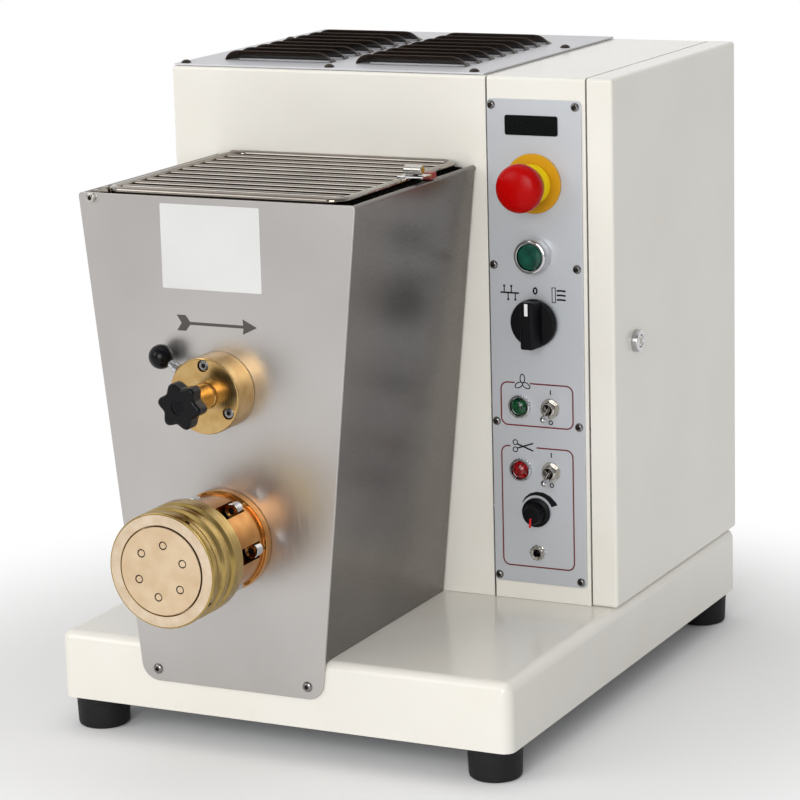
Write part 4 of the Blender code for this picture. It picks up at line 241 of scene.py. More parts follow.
# %% A finish for pieces off the lathe
def lathe_cut(name, dark, light, axis_x, axis_z, groove_mm, rough, height_mm, axis="Y", swing=0.08):
    made = bpy.data.materials.new(name)
    made.use_nodes = True
    tree = made.node_tree
    shader = tree.nodes["Principled BSDF"]
    where = add(tree, "TexCoord").outputs["Object"]
    centre = at(axis_x, 0, axis_z)
    middle = add(tree, "Mapping", {"Vector": where, "Location": (-centre.x, 0, -centre.z)}).outputs[0]
    across = add(tree, "VectorMath", {0: middle, 1: (1, 0, 1)}, operation="MULTIPLY")
    radius = add(tree, "VectorMath", {0: across.outputs[0]}, operation="LENGTH")
    parts = add(tree, "SeparateXYZ", {0: middle})
    path = add(tree, "Math", {0: radius.outputs["Value"], 1: parts.outputs[axis]}, operation="SUBTRACT")
    groove = add(tree, "TexNoise", {"W": path.outputs[0], "Scale": 1 / (groove_mm * MM), "Detail": 2.0},
                 noise_dimensions="1D")
    cloud = add(tree, "TexNoise", {"Vector": where, "Scale": 1 / (14 * MM), "Detail": 3.0})
    tint = add(tree, "ValToRGB", {"Fac": cloud.outputs["Fac"]})
    ramp(tint, [(0.3, dark), (0.7, light)])
    worn = add(tree, "MapRange", {"Value": groove.outputs["Fac"], "From Min": 0.3, "From Max": 0.7,
                                  "To Min": rough - swing, "To Max": rough + swing})
    relief = add(tree, "Bump", {"Height": groove.outputs["Fac"], "Distance": height_mm * MM, "Strength": 1.0})
    tree.links.new(tint.outputs[0], shader.inputs["Base Color"])
    tree.links.new(worn.outputs[0], shader.inputs["Roughness"])
    tree.links.new(relief.outputs[0], shader.inputs["Normal"])
    shader.inputs["Metallic"].default_value = 1.0
    return made


AXIS_X, MIXER_Z, AUGER_Z = -41.0, 302.0, 179.5
TURNED_BRASS = lathe_cut("turned_brass", "#B8935A", "#CDAE78", AXIS_X, MIXER_Z, 0.9, 0.22, 0.0012, swing=0.03)
NUT_BRASS = lathe_cut("turned_nut_brass", "#9E854B", "#B69C62", AXIS_X, AUGER_Z, 0.9, 0.25, 0.004, swing=0.06)
DIE_BRASS = lathe_cut("faced_die_bronze", "#DCC09C", "#E8D0B0", AXIS_X, AUGER_Z, 1.3, 0.4, 0.004, swing=0.05)
BARREL_BRONZE = lathe_cut("turned_barrel_bronze", "#A8743C", "#C08C50", AXIS_X, AUGER_Z, 1.0, 0.19, 0.003,
                          swing=0.05)
CAST_BRASS = grained("sand_cast_brass", "#DAC2A4", "#E8D5BC", 1.6, 0.42, 0.12, 1.0, swing=0.1, cloud_mm=9)
CHROME = grained("bright_chrome_plate", "#BDBDBF", "#CBCBCD", 3.0, 0.09, 0.001, 1.0, swing=0.03)
NICKEL = grained("nickel_plate", "#B9B5AE", "#C9C6C0", 2.0, 0.2, 0.002, 1.0)
ZINC_SCREW = grained("zinc_plated_screw", "#7B7A79", "#929190", 1.5, 0.24, 0.003, 1.0)
DARK_SCREW = grained("blackened_screw", "#3A332E", "#4C443D", 1.5, 0.34, 0.004, 0.9)
GROUND_STEEL = grained("ground_shaft_steel", "#A5A5A6", "#B7B7B8", 0.9, 0.24, 0.003, 1.0)
GREY_CASTING = grained("painted_grey_casting", "#6B6E70", "#7B7E80", 3.0, 0.5, 0.08)
# Painted shade: a dark colour for hollows such as hexagon sockets, standing in for the shade inside them.
PAINTED_SHADE_RECESS = grained("painted_shade_recess", "#1B1510", "#2A2119", 1.5, 0.6, 0.01, 0.4)
ETCHED_MARK = grained("acid_etched_mark", "#4A4543", "#5A5552", 0.9, 0.62, 0.004, 0.5)
print("metal finishes made")

# %% [markdown]
# ## Making a piece
#
# Every piece is a bmesh first. When it is ready, one function merges its doubles, points its faces outwards,
# makes the object at the origin, gives it its finish and its body, and hides the CAD solids it stands for.
# Round pieces are shaded smooth up to an angle, and a Weighted Normal modifier keeps flats flat
# beside their rounded edges. Faces marked as second get a dark finish that is painted shade, as in the hollow
# of a screw's hexagon socket.

# %% The functions that finish a piece
def shown(name, shape, finish, body, solids=(), angle=32, weighted=True, recalc=True, painted_shade=None):
    bmesh.ops.remove_doubles(shape, verts=shape.verts, dist=0.001 * MM)
    if recalc:
        bmesh.ops.recalc_face_normals(shape, faces=shape.faces)
    mesh = bpy.data.meshes.new(name)
    shape.to_mesh(mesh)
    shape.free()
    mesh.materials.append(finish)
    # The second material is painted shade, for the faces marked as second.
    if painted_shade:
        mesh.materials.append(painted_shade)
    mesh.shade_smooth()
    mesh.set_sharp_from_angle(angle=math.radians(angle))
    piece = bpy.data.objects.new(name, mesh)
    bpy.context.scene.collection.objects.link(piece)
    if weighted:
        flats = piece.modifiers.new("flats", "WEIGHTED_NORMAL")
        flats.keep_sharp = True
    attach(piece, body)
    if solids:
        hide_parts(*solids)
    return piece


def moved(shape, matrix):
    bmesh.ops.transform(shape, matrix=matrix, verts=shape.verts)
    return shape


def joined(*shapes):
    """One bmesh that holds several; the others are freed."""
    whole = bmesh.new()
    for shape in shapes:
        spare = bpy.data.meshes.new("spare")
        shape.to_mesh(spare)
        shape.free()
        whole.from_mesh(spare)
        bpy.data.meshes.remove(spare)
    return whole


# %% [markdown]
# ## Shapes that keep coming back
#
# Four shapes make most of the fittings: a profile spun on a lathe, a block with softened edges,
# a rod, and a stroke of paint or ink. Sizes are in millimetres, and the piece is built round its own axis,
# which `facing_front` and its sisters then aim.

# %% Lathe, block, rod and stroke
def lathe(profile, steps=72, closed=True):
    """Spins (radius, height) points about Z. A closed profile is a ring; ends on the axis just close."""
    shape = bmesh.new()
    points = [shape.verts.new((radius * MM, 0, height * MM)) for radius, height in profile]
    pairs = list(zip(points, points[1:] + ([points[0]] if closed else [])))
    edges = [shape.edges.new(pair) for pair in pairs if pair[0].co.x > 0 or pair[1].co.x > 0]
    bmesh.ops.spin(shape, geom=points + edges, cent=(0, 0, 0), axis=(0, 0, 1), angle=math.tau, steps=steps,
                   use_merge=True, use_duplicate=False)
    bmesh.ops.remove_doubles(shape, verts=shape.verts, dist=0.002 * MM)
    return shape


def block(low, high, edge=0.0, segments=2):
    """A box between two corners of its own drawing, with its edges rounded."""
    shape = bmesh.new()
    bmesh.ops.create_cube(shape, size=1)
    size = [(b - a) * MM for a, b in zip(low, high)]
    middle = [(b + a) / 2 * MM for a, b in zip(low, high)]
    bmesh.ops.scale(shape, vec=size, verts=shape.verts)
    bmesh.ops.translate(shape, vec=middle, verts=shape.verts)
    if edge:
        bmesh.ops.bevel(shape, geom=shape.edges[:], offset=edge * MM, segments=segments, profile=0.5,
                        affect="EDGES", material=-1)
    return shape


def drawing_block(low, high, edge=0.0, segments=2):
    """A box given by two corners of the machine's drawing."""
    return moved(block(low, high, edge, segments), Matrix.Translation(DRAWING_ORIGIN))


def rod(start, end, radius, steps=20, edge=0.4):
    """A round bar between two places of the machine's drawing, with softened ends."""
    a, b = at(*start), at(*end)
    shape = bmesh.new()
    bmesh.ops.create_cone(shape, cap_ends=True, segments=steps, radius1=radius * MM, radius2=radius * MM,
                          depth=(b - a).length)
    rims = [e for e in shape.edges if abs(e.verts[0].co.z - e.verts[1].co.z) < 1e-6]
    bmesh.ops.bevel(shape, geom=rims, offset=edge * MM, segments=2, profile=0.5, affect="EDGES", material=-1)
    aim = (b - a).to_track_quat("Z", "Y").to_matrix().to_4x4()
    return moved(shape, Matrix.Translation((a + b) / 2) @ aim)


INK_DEPTH = 0.12


def stroke(points, width, closed=False):
    """A painted line in the XY plane, a flattened tube along the points."""
    path = bpy.data.curves.new("stroke", "CURVE")
    path.dimensions = "3D"
    path.bevel_depth = width / 2 * MM
    path.bevel_resolution = 1
    path.use_fill_caps = True
    line = path.splines.new("POLY")
    line.points.add(len(points) - 1)
    for point, (x, y) in zip(line.points, points):
        point.co = (x * MM, y * MM, 0, 1)
    line.use_cyclic_u = closed
    holder = bpy.data.objects.new("stroke", path)
    bpy.context.scene.collection.objects.link(holder)
    view = bpy.context.evaluated_depsgraph_get()
    mesh = bpy.data.meshes.new_from_object(holder.evaluated_get(view))
    bpy.data.objects.remove(holder)
    shape = bmesh.new()
    shape.from_mesh(mesh)
    bmesh.ops.remove_doubles(shape, verts=shape.verts, dist=0.001 * MM)
    bmesh.ops.scale(shape, vec=(1, 1, INK_DEPTH / width), verts=shape.verts)
    return shape


def circle_points(radius, count, x=0.0, y=0.0, start=0.0, sweep=360.0):
    """Points round a circle, in millimetres; a part sweep includes both ends."""
    steps = count if sweep == 360 else count - 1
    angles = [math.radians(start + sweep * i / steps) for i in range(count)]
    return [(x + radius * math.cos(a), y + radius * math.sin(a)) for a in angles]


def flat_shape(outline, low, high, edge=0.0):
    """A prism on an outline of (x, y) points, from one height to another, its upper rim rounded."""
    shape = bmesh.new()
    face = shape.faces.new([shape.verts.new((x * MM, y * MM, low * MM)) for x, y in outline])
    grown = bmesh.ops.extrude_face_region(shape, geom=[face])["geom"]
    upper = [v for v in grown if isinstance(v, bmesh.types.BMVert)]
    bmesh.ops.translate(shape, vec=(0, 0, (high - low) * MM), verts=upper)
    if not any(abs(f.calc_center_median().z - low * MM) < 1e-7 for f in shape.faces):
        bmesh.ops.holes_fill(shape, edges=[e for e in shape.edges if e.is_boundary], sides=0)
    if edge:
        rim = [e for e in shape.edges if all(v.co.z > high * MM - 1e-7 for v in e.verts)]
        bmesh.ops.bevel(shape, geom=rim, offset=edge * MM, segments=2, profile=0.5, affect="EDGES", material=-1)
    return shape


def holder_of(shape, name):
    """An object that holds the shape for as long as a modifier needs it."""
    mesh = bpy.data.meshes.new(name)
    bmesh.ops.recalc_face_normals(shape, faces=shape.faces)
    shape.to_mesh(mesh)
    shape.free()
    holder = bpy.data.objects.new(name, mesh)
    bpy.context.scene.collection.objects.link(holder)
    return holder


def shape_of(holder):
    """The shape that the holder's modifiers give; the holder is removed."""
    view = bpy.context.evaluated_depsgraph_get()
    shape = bmesh.new()
    shape.from_mesh(bpy.data.meshes.new_from_object(holder.evaluated_get(view)))
    bpy.data.objects.remove(holder)
    return shape


def bored(shape, cutters):
    """The shape with the cutters taken away one after another, so that cutters may overlap."""
    body = holder_of(shape, "body")
    tools = [holder_of(cutter, "cutter") for cutter in cutters]
    for tool in tools:
        step = body.modifiers.new("bore", "BOOLEAN")
        step.operation = "DIFFERENCE"
        step.object = tool
    result = shape_of(body)
    for tool in tools:
        bpy.data.objects.remove(tool)
    return result


def mark_painted_shade(shape, radius, low, high):
    """Marks the faces near the axis, between two heights, for the painted shade of a socket's hollow."""
    for face in shape.faces:
        middle = face.calc_center_median()
        if math.hypot(middle.x, middle.y) < radius * MM and low * MM < middle.z < high * MM:
            face.material_index = 1
    return shape


def drill(radius, low, high, x=0.0, y=0.0, steps=32):
    """A cutter along Z for a round hole."""
    tool = lathe([(0, high), (radius, high), (radius, low), (0, low)], steps, closed=False)
    return moved(tool, Matrix.Translation((x * MM, y * MM, 0)))


print("shape helpers ready")

# %% [markdown]
# ## Folded sheet
#
# The housing is folded from 1.5 mm sheet, so each panel is a box with its open sides taken out,
# its bends rounded, and a wall grown inwards by a Solidify modifier. The radius of the bends is what
# makes the highlight along every edge, so they get four steps.

# %% Fold, wall and hole
def walled(shape, wall):
    """A sheet shape with its wall grown inwards."""
    holder = holder_of(shape, "sheet")
    shell = holder.modifiers.new("wall", "SOLIDIFY")
    shell.thickness = wall * MM
    shell.offset = -1
    shell.use_even_offset = True
    return shape_of(holder)


def folded(low, high, open_sides, bend):
    shape = block(low, high)
    shape.normal_update()
    gone = [f for f in shape.faces if any(f.normal.dot(Vector(side)) > 0.9 for side in open_sides)]
    bmesh.ops.delete(shape, geom=gone, context="FACES")
    bends = [e for e in shape.edges if not e.is_boundary]
    bmesh.ops.bevel(shape, geom=bends, offset=bend * MM, segments=4, profile=0.5, affect="EDGES", material=-1)
    return moved(shape, Matrix.Translation(DRAWING_ORIGIN))


def hole(radius, x, y, z, low=-6, high=6, aim=facing_front, steps=40):
    """A cutter for a round hole through a panel at a drawing place."""
    return moved(drill(radius, low, high, steps=steps), aim(x, y, z))


LEFT, RIGHT, BACK, DOWN = (-1, 0, 0), (1, 0, 0), (0, 1, 0), (0, 0, -1)

# %% [markdown]
# ## Base and feet
#
# The base is a deep pressed tray turned upside down, closed below by a plate, on four rubber feet.
# A foot is turned: a slight taper, a rounded tread and a recess for its screw.

# %% Base tray, feet and their screws
tray = folded((-205, -254, 27), (205, 254, 84.5), [DOWN], 9)
shown("base_tray_pressing", walled(tray, 3), CREAM_POWDER_COAT, "machine", ("base_tray",))

FOOT = [(0, 26.7), (21.7, 26.7), (22.5, 25.9), (22.4, 22), (21.9, 21), (22.2, 20), (21.5, 3.2), (20.9, 1.2),
        (19.4, 0), (11.2, 0), (10.2, 0.8), (10, 1.8), (10, 9), (0, 9)]
FOOT_SCREW = [(0, 9), (6.2, 9), (6.2, 5.4), (5.6, 4.8), (3.2, 4.8), (3.2, 6.6), (0, 6.6)]
for corner, x, y in (("front_left", -180.5, -229.5), ("front_right", 180.5, -229.5),
                     ("rear_left", -180.5, 229.5), ("rear_right", 180.5, 229.5)):
    shown(f"foot_{corner}_rubber", moved(lathe(FOOT, closed=False), facing_up(x, y, 0)), BLACK_RUBBER,
          "machine",
          (f"foot_{corner}",))
    shown(f"foot_screw_{corner}", moved(lathe(FOOT_SCREW, 48, closed=False), facing_up(x, y, 0)), ZINC_SCREW,
          "machine")
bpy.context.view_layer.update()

# %% [markdown]
# ## The tower's panels
#
# Three panels meet at narrow seams: the wide cover on the left, the control column, and the side door.
# The cover is open at the top under the vent plate, which is why no light comes back out of the louvres.

# %% Cover, column and door
BELOW, ABOVE = 84.8, 529.5
shaft_holes = [hole(12, AXIS_X, -32, z) for z in (MIXER_Z, AUGER_Z)]
cover = walled(folded((-205, -32, BELOW), (92.2, 252.5, ABOVE), [RIGHT, DOWN], 3), 1.5)
cover = bored(cover, shaft_holes + [drawing_block((-191, -18, 520), (78.2, 238.5, 535))])
shown("main_cover_sheet", cover, CREAM_POWDER_COAT, "machine", ("main_cover",))

PANEL_HOLES = [(135, 441.8, 11.2), (135, 382, 11.2), (135, 325.5, 11.2), (119.7, 253, 8.8), (119.7, 198.5, 8.8),
               (147.2, 253, 6.2), (147.2, 198.5, 6.2), (133.3, 162.5, 3.3), (133.8, 127.4, 5.1)]
column = walled(folded((93.8, -32, BELOW), (181.2, 252.5, ABOVE), [LEFT, RIGHT, DOWN], 3), 1.5)
column = bored(column, [hole(r, x, -32, z) for x, z, r in PANEL_HOLES] + [hole(6.8, 137, 252, 120)])
lip = drawing_block((179.7, -31.2, BELOW), (181.2, -2, 528.7), 0.3)
shown("control_column_sheet", joined(column, lip), CREAM_POWDER_COAT, "machine", ("control_column",))

door = walled(folded((182.8, -32, BELOW), (205, 252.5, ABOVE), [LEFT, BACK], 3), 1.5)
door = bored(door, [hole(8.1, 205, 14, 305.5, aim=facing_right)])
HINGE_LOW, HINGE_HIGH, KNUCKLE = 134.8, 427.5, 26
hung = []
for z in (HINGE_LOW, HINGE_HIGH):
    hung.append(rod((196, 247.5, z + KNUCKLE + 0.3), (196, 247.5, z + 2 * KNUCKLE), 4.5, 32))
    hung.append(drawing_block((196, 248.2, z + KNUCKLE + 0.3), (204.2, 249.7, z + 2 * KNUCKLE), 0.3))
shown("side_door_sheet", joined(door, *hung), CREAM_POWDER_COAT, "door", ("side_door",))
fixed = [rod((196, 247.5, HINGE_LOW), (196, 247.5, HINGE_HIGH + 2 * KNUCKLE), 2.5, 24)]
for z in (HINGE_LOW, HINGE_HIGH):
    fixed.append(rod((196, 247.5, z), (196, 247.5, z + KNUCKLE), 4.5, 32))
    fixed.append(drawing_block((170, 249.2, z), (196, 250.7, z + KNUCKLE), 0.3))
shown("door_hinge_fixed_half", joined(*fixed), NICKEL, "machine", ("door_hinge",))
print("tower panels made")

# %% [markdown]
# ## The louvred vent plate
#
# A louvre is pressed out of the sheet by a punch: one long edge is sheared and lifted into a mouth,
# the other three stay joined and are drawn down smoothly. Each hood here is a small grid whose height falls
# steadily towards the back and like a quarter circle towards both ends. Where the mouth opens,
# the plate below it is slotted. The hoods are coloured dark brown, inside and out: outside it is their own
# colour, inside their mouths it is painted shade. They stand out against the pale plate; only their lips catch
# the light.

# %% Hoods, plate and its screws
def louvre_hood(mouth_half=52.0, back_half=44.0, depth=21.0, height=9.5, fall=14.0):
    shape = bmesh.new()
    bmesh.ops.create_grid(shape, x_segments=36, y_segments=10, size=0.5)
    for vert in shape.verts:
        v = vert.co.y + 0.5
        half = back_half + (mouth_half - back_half) * math.sqrt(max(0.0, 1 - v * v))
        x = half * math.sin(vert.co.x * math.pi)
        past = max(0.0, (abs(x) - (half - fall)) / fall)
        rise = height * (1 - v) ** 1.15 * math.sqrt(max(0.0, 1 - past * past))
        vert.co = (x * MM, v * depth * MM, rise * MM)
    return shape


rows = [4 + 24.6 * i for i in range(8)]
centres = (-119.9, 7.1)
hoods = joined(*[moved(louvre_hood(), facing_up(x, y, 530.55)) for x in centres for y in rows])
if sum(f.normal.z for f in hoods.faces) < 0:
    bmesh.ops.reverse_faces(hoods, faces=hoods.faces)
slots = [drawing_block((x - 45, y + 0.4, 525), (x + 45, y + 14, 535)) for x in centres for y in rows]
plate = bored(drawing_block((-203.5, -30.5, 529.8), (90.7, 251, 531.3), 0.4), slots)
shown("vent_plate_sheet", plate, PALE_POWDER_COAT, "machine", ("vent_plate",))
# The hoods' dark brown is painted shade inside the mouths and their own colour outside.
shown("louvre_hoods", walled(hoods, 0.8), DARK_BROWN_HOOD_AND_SHADE, "machine", recalc=False)


def screw_head(radius, height, socket, depth, sides=6):
    """A low domed head along Z with its drive recess."""
    dome = [(radius * math.cos(a), height * math.sin(a)) for a in (0, 0.35, 0.7, 1.0, 1.25)]
    head = lathe([(0, height)] + dome[::-1] + [(radius, 0), (radius * 0.6, 0), (radius * 0.6, -2), (0, -2)], 48,
                 closed=False)
    recess = bmesh.new()
    bmesh.ops.create_cone(recess, cap_ends=True, segments=sides, radius1=socket * MM, radius2=socket * MM,
                          depth=2 * depth * MM)
    head = bored(head, [moved(recess, Matrix.Translation((0, 0, height * MM)))])
    # The drive recess gets painted shade.
    return mark_painted_shade(head, socket * 1.02, 0, height - 0.2)


for i, (x, y) in enumerate([(-195, -23.5), (-56, -23.5), (79, -23.5), (-192, 163), (83, 158)]):
    shown(f"vent_screw_{i + 1}", moved(screw_head(4.4, 2.8, 2.0, 1.6), facing_up(x, y, 531.3)), DARK_SCREW,
          "machine",
          painted_shade=PAINTED_SHADE_RECESS)
print("vent plate made", len(rows) * len(centres), "louvres")

# %% [markdown]
# ## The control plate
#
# An anodised aluminium plate holds all controls, fixed by eight button head screws. Its marks are screen
# printed: a frame round each group, I and O beside each switch, a wedge that widens as the speed rises.
# They are drawn as thin strokes just proud of the plate. A small dark badge above them stays blank.

# %% Plate, badge and screws
PANEL_Y = -33.8
corners = []
for cx, cz, start in ((174, 507, 0), (98, 507, 90), (98, 104, 180), (174, 104, 270)):
    corners += circle_points(4, 9, cx, cz, start, 90)
plate = moved(flat_shape(corners, -1.5, 0, 0.3), facing_front(0, PANEL_Y, 0))
plate = bored(plate, [hole(r, x, PANEL_Y, z) for x, z, r in PANEL_HOLES])
shown("control_plate_sheet", plate, ANODISED_ALUMINIUM, "machine", ("control_plate",))

for i, (x, z) in enumerate([(x, z) for x in (98, 173) for z in (105, 238.8, 372.2, 506.1)]):
    shown(f"plate_screw_{i + 1}", moved(screw_head(3.7, 2.2, 1.9, 1.4), facing_front(x, PANEL_Y, z)),
          ZINC_SCREW,
          "machine", painted_shade=PAINTED_SHADE_RECESS)
badge = []
for cx, cz, start in ((155.5, 496, 0), (112.3, 496, 90), (112.3, 483.5, 180), (155.5, 483.5, 270)):
    badge += circle_points(2, 7, cx, cz, start, 90)
shown("blank_badge", moved(flat_shape(badge, 0, 0.9, 0.25), facing_front(0, PANEL_Y, 0)), BLANK_BADGE,
      "machine")


# %% Printed marks
def printed(name, marks, ink):
    shown(name, moved(joined(*marks), facing_front(0, PANEL_Y - 0.07, 0)), ink, "machine",
          weighted=False)


def frame_mark(left, right, low, high, gap_from, gap_to, corner=6):
    """A rounded frame, open at the top where a symbol stands."""
    line = [(gap_to, high)] + circle_points(corner, 7, right - corner, high - corner, 90, -90)
    line += circle_points(corner, 7, right - corner, low + corner, 0, -90)
    line += circle_points(corner, 7, left + corner, low + corner, 270, -90)
    line += circle_points(corner, 7, left + corner, high - corner, 180, -90) + [(gap_from, high)]
    return stroke(line, 1.25)


printed("group_frames", [frame_mark(102.4, 167.6, 236.5, 273, 115, 129),
                         frame_mark(102, 167, 114.5, 218.2, 110, 134)], RED_INK)


def petal(x, z, angle, length=7.6, width=4.2):
    """One blade of the fan symbol, a loop that starts at its hub."""
    turn = Matrix.Rotation(math.radians(angle), 2)
    loop = [Vector((length / 2 * (1 + math.cos(a)), width / 2 * math.sin(a))) for a in
            [math.tau * i / 18 for i in range(18)]]
    return stroke([(x + p.x, z + p.y) for p in (turn @ p for p in loop)], 0.9, True)


fan_symbol = [petal(122.1, 273, angle) for angle in (90, 210, 330)]
scissors = [stroke(circle_points(2.1, 16, 114.6, 215.4), 0.9, True),
            stroke(circle_points(2.1, 16, 114.6, 221.6), 0.9, True),
            stroke([(116.3, 216.6), (131, 221.8)], 1.3), stroke([(116.3, 220.4), (131, 215.2)], 1.3)]
wedge_outer = [(133.3 + r * math.cos(math.radians(a)), 162.5 + r * math.sin(math.radians(a)))
               for a, r in ((150, 15.3), (130, 16.2), (110, 17.0), (90, 17.8), (70, 18.6), (50, 19.4),
                            (30, 20.2), (22, 20.5))]
wedge_inner = circle_points(14.6, 14, 133.3, 162.5, 22, 128)
wedge = flat_shape(wedge_outer + wedge_inner, -0.06, 0.06)
marks = [wedge] + fan_symbol + scissors
for z in (240.9, 186.9):
    marks.append(stroke(circle_points(1.6, 20, 147.4, z), 0.9, True))
for z in (266.7, 212.9):
    marks.append(stroke([(147.4, z - 2), (147.4, z + 2)], 1.0))
marks.append(stroke([(135.1 + 1.5 * math.cos(a), 352.1 + 2.5 * math.sin(a)) for a in
                     [math.tau * i / 24 for i in range(24)]], 1.5, True))
# The mixing symbol is a shaft with four paddles; the extruding symbol is a die with three strands beside it.
marks += [stroke([(103.5, 349.3), (120.5, 349.3)], 1.4)]
for x, end in ((107, 355), (113.5, 355), (110.5, 343.6), (117, 343.6)):
    marks += [stroke([(x, 349.3), (x, end)], 1.0), stroke([(x - 0.9, end), (x + 0.9, end)], 1.7)]
marks += [stroke([(150.3, 343.2), (153.3, 343.2), (153.3, 355.6), (150.3, 355.6)], 1.0, True)]
marks += [stroke([(154.5, z), (158, z + 0.3), (162.5, z)], 1.5) for z in (345.6, 349.4, 353.2)]
printed("switch_marks", marks, BLACK_INK)
print("control plate made")

# %% [markdown]
# ## The emergency stop
#
# A mushroom head stands clear of a yellow collar so that a palm can hit it. Its dome is plain and smooth,
# which gives the broad highlight that tells polished plastic from painted metal.

# %% Collar and mushroom head
STOP, CONTROL_Y = (135, 441.8), -34.1


def on_panel(shape, x, z):
    return moved(shape, facing_front(x, CONTROL_Y, z))


collar = lathe([(7.8, 16), (15.6, 16), (16.3, 15.7), (16.5, 15), (16.5, 2.2), (16.9, 1.6), (24.2, 1.5),
                (24.8, 1.2),
                (25, 0.7), (25, 0), (10.8, 0), (10.8, -14), (7.8, -14)])
shown("e_stop_collar_moulding", on_panel(collar, *STOP), SIGNAL_YELLOW, "machine", ("e_stop_collar",))
neck = lathe([(16.52, 14.6), (16.62, 14.5), (16.62, 3.2), (16.52, 3.1)])
shown("e_stop_neck_ring", on_panel(neck, *STOP), BRIGHT_YELLOW, "machine")
head = lathe([(0, 38), (4, 37.9), (8, 37.5), (12, 36.7), (15, 35.7), (17.4, 34.3), (19.1, 32.5), (20, 30.4),
              (20.2, 28.4),
              (20.2, 26.2), (20.0, 24.8), (19.4, 23.9), (18.4, 23.5), (7.8, 23.5), (7.8, 31.5), (0, 31.5)], 96,
             closed=False)
shown("e_stop_mushroom", on_panel(head, *STOP), SIGNAL_RED, "e_stop_twist", ("e_stop_head",))

# %% [markdown]
# ## Start button and selector
#
# The start button is a flat green lens in a polished bezel. The selector is a round black knob
# with a raised bar across it; the bar's sides lean so that fingers find it,
# and a white line on the bar shows where it points.

# %% Start button
bezel = lathe([(11.2, 10.4), (11.5, 10.9), (12, 11), (13.0, 11), (13.8, 10.6), (14.4, 9.6), (14.7, 8.0),
               (14.7, 0.5),
               (14.4, 0), (10.8, 0), (10.8, -14), (6.8, -14), (6.8, 1.5), (11.2, 1.5)])
shown("start_button_ring", on_panel(bezel, 135, 382), CHROME, "machine", ("start_button_bezel",))
lens = lathe([(0, 10.7), (8.6, 10.6), (10.2, 10.3), (10.8, 9.7), (10.9, 9), (10.9, 5.8), (6.5, 5.8),
              (6.5, -14), (0, -14)],
             closed=False)
shown("start_button_cap", on_panel(lens, 135, 382), GREEN_ACRYLIC, "start_button", ("start_button_lens",))

# %% Selector
bezel = lathe([(4.3, 2), (16.2, 2), (16.5, 1.7), (16.5, 0), (10.8, 0), (10.8, -14), (4.3, -14)])
shown("selector_seat", on_panel(bezel, 135, 325.5), BLACK_NYLON, "machine", ("selector_bezel",))
disc = lathe([(0, 6.8), (18.4, 6.8), (19.7, 6.4), (20.3, 5.4), (20.3, 2.8), (19.9, 2.3), (4, 2.3), (4, -14),
              (0, -14)], 96,
             closed=False)
grip = block((-0.5, -0.5, -0.5), (0.5, 0.5, 0.5))
for vert in grip.verts:
    top = vert.co.z > 0
    vert.co = (math.copysign(5.5 if top else 9, vert.co.x) * MM,
               math.copysign(20 if top else 19.2, vert.co.y) * MM,
               (19.3 if top else 5.4) * MM)
bmesh.ops.bevel(grip, geom=grip.edges[:], offset=1.6 * MM, segments=4, profile=0.5, affect="EDGES", material=-1)
shown("selector_grip", on_panel(joined(disc, grip), 135, 325.5), BLACK_NYLON, "selector", ("selector_knob",))
line = block((-1.5, 8.8, 19.2), (1.5, 19, 19.4), 0.08)
shown("selector_index_line", on_panel(line, 135, 325.5), WHITE_INK, "selector")
print("push button and selector made")

# %% [markdown]
# ## Lamps, toggle switches, speed knob and socket
#
# The lamps are faceted like a cut stone, so their lens is spun with few steps and shaded flat.
# A toggle is a threaded bush, a hexagon nut on a washer, and a chromed lever that ends in a drop.
# The speed knob's cap is fluted for grip and carries a red pointer.

# %% Lamps
def ridged(shape, count, depth, low, high, inner):
    """Presses evenly spaced notches into the side of a turned piece between two heights."""
    for vert in shape.verts:
        radius = math.hypot(vert.co.x, vert.co.y)
        if low * MM < vert.co.z < high * MM and radius > inner * MM:
            angle = math.atan2(vert.co.y, vert.co.x)
            share = 1 - depth * MM / radius * (0.5 - 0.5 * math.cos(count * angle))
            vert.co.x *= share
            vert.co.y *= share
    return shape


for group, z, jewel, slot_name in (("fan", 253, GREEN_JEWEL, "green_lens"),
                                   ("cutter", 198.5, RED_JEWEL, "red_lens")):
    bezel = lathe([(7.9, 3.2), (8.2, 3.5), (8.8, 3.5), (9.5, 3.0), (9.9, 2.2), (10, 1.4), (10, 0.2), (9.8, 0),
                   (8.5, 0),
                   (8.5, -22), (0, -22), (0, -1.5), (7.9, -1.5)], 144)
    ridged(bezel, 24, 0.7, 0.1, 2.9, 9.2)
    shown(f"{group}_lamp_ring", on_panel(bezel, 119.7, z), CHROME, "machine", (f"{group}_lamp_bezel",))
    lens = lathe([(0, 6), (2.6, 5.9), (5.2, 4.9), (7.0, 3.2), (7.6, 2.0), (7.6, -1.2), (0, -1.2)], 14,
                 closed=False)
    shown(f"{group}_lamp_jewel", on_panel(lens, 119.7, z), jewel, "machine", (f"{group}_lamp_lens",),
          angle=4, weighted=False)

# %% Toggle switches
def hexagon(width_radius, low, high, bore, chamfer=0.5):
    """A hexagon nut along Z with chamfered corners and a bore."""
    nut = flat_shape(circle_points(width_radius, 6, start=30), low, high)
    cap = lathe([(width_radius * 0.88, high + 1), (width_radius * 2, high + 1),
                 (width_radius * 2, high - chamfer * 3),
                 (width_radius + 0.02, high - chamfer), (width_radius * 0.9, high)], 48)
    return bored(nut, [cap, drill(bore, low - 1, high + 1)])


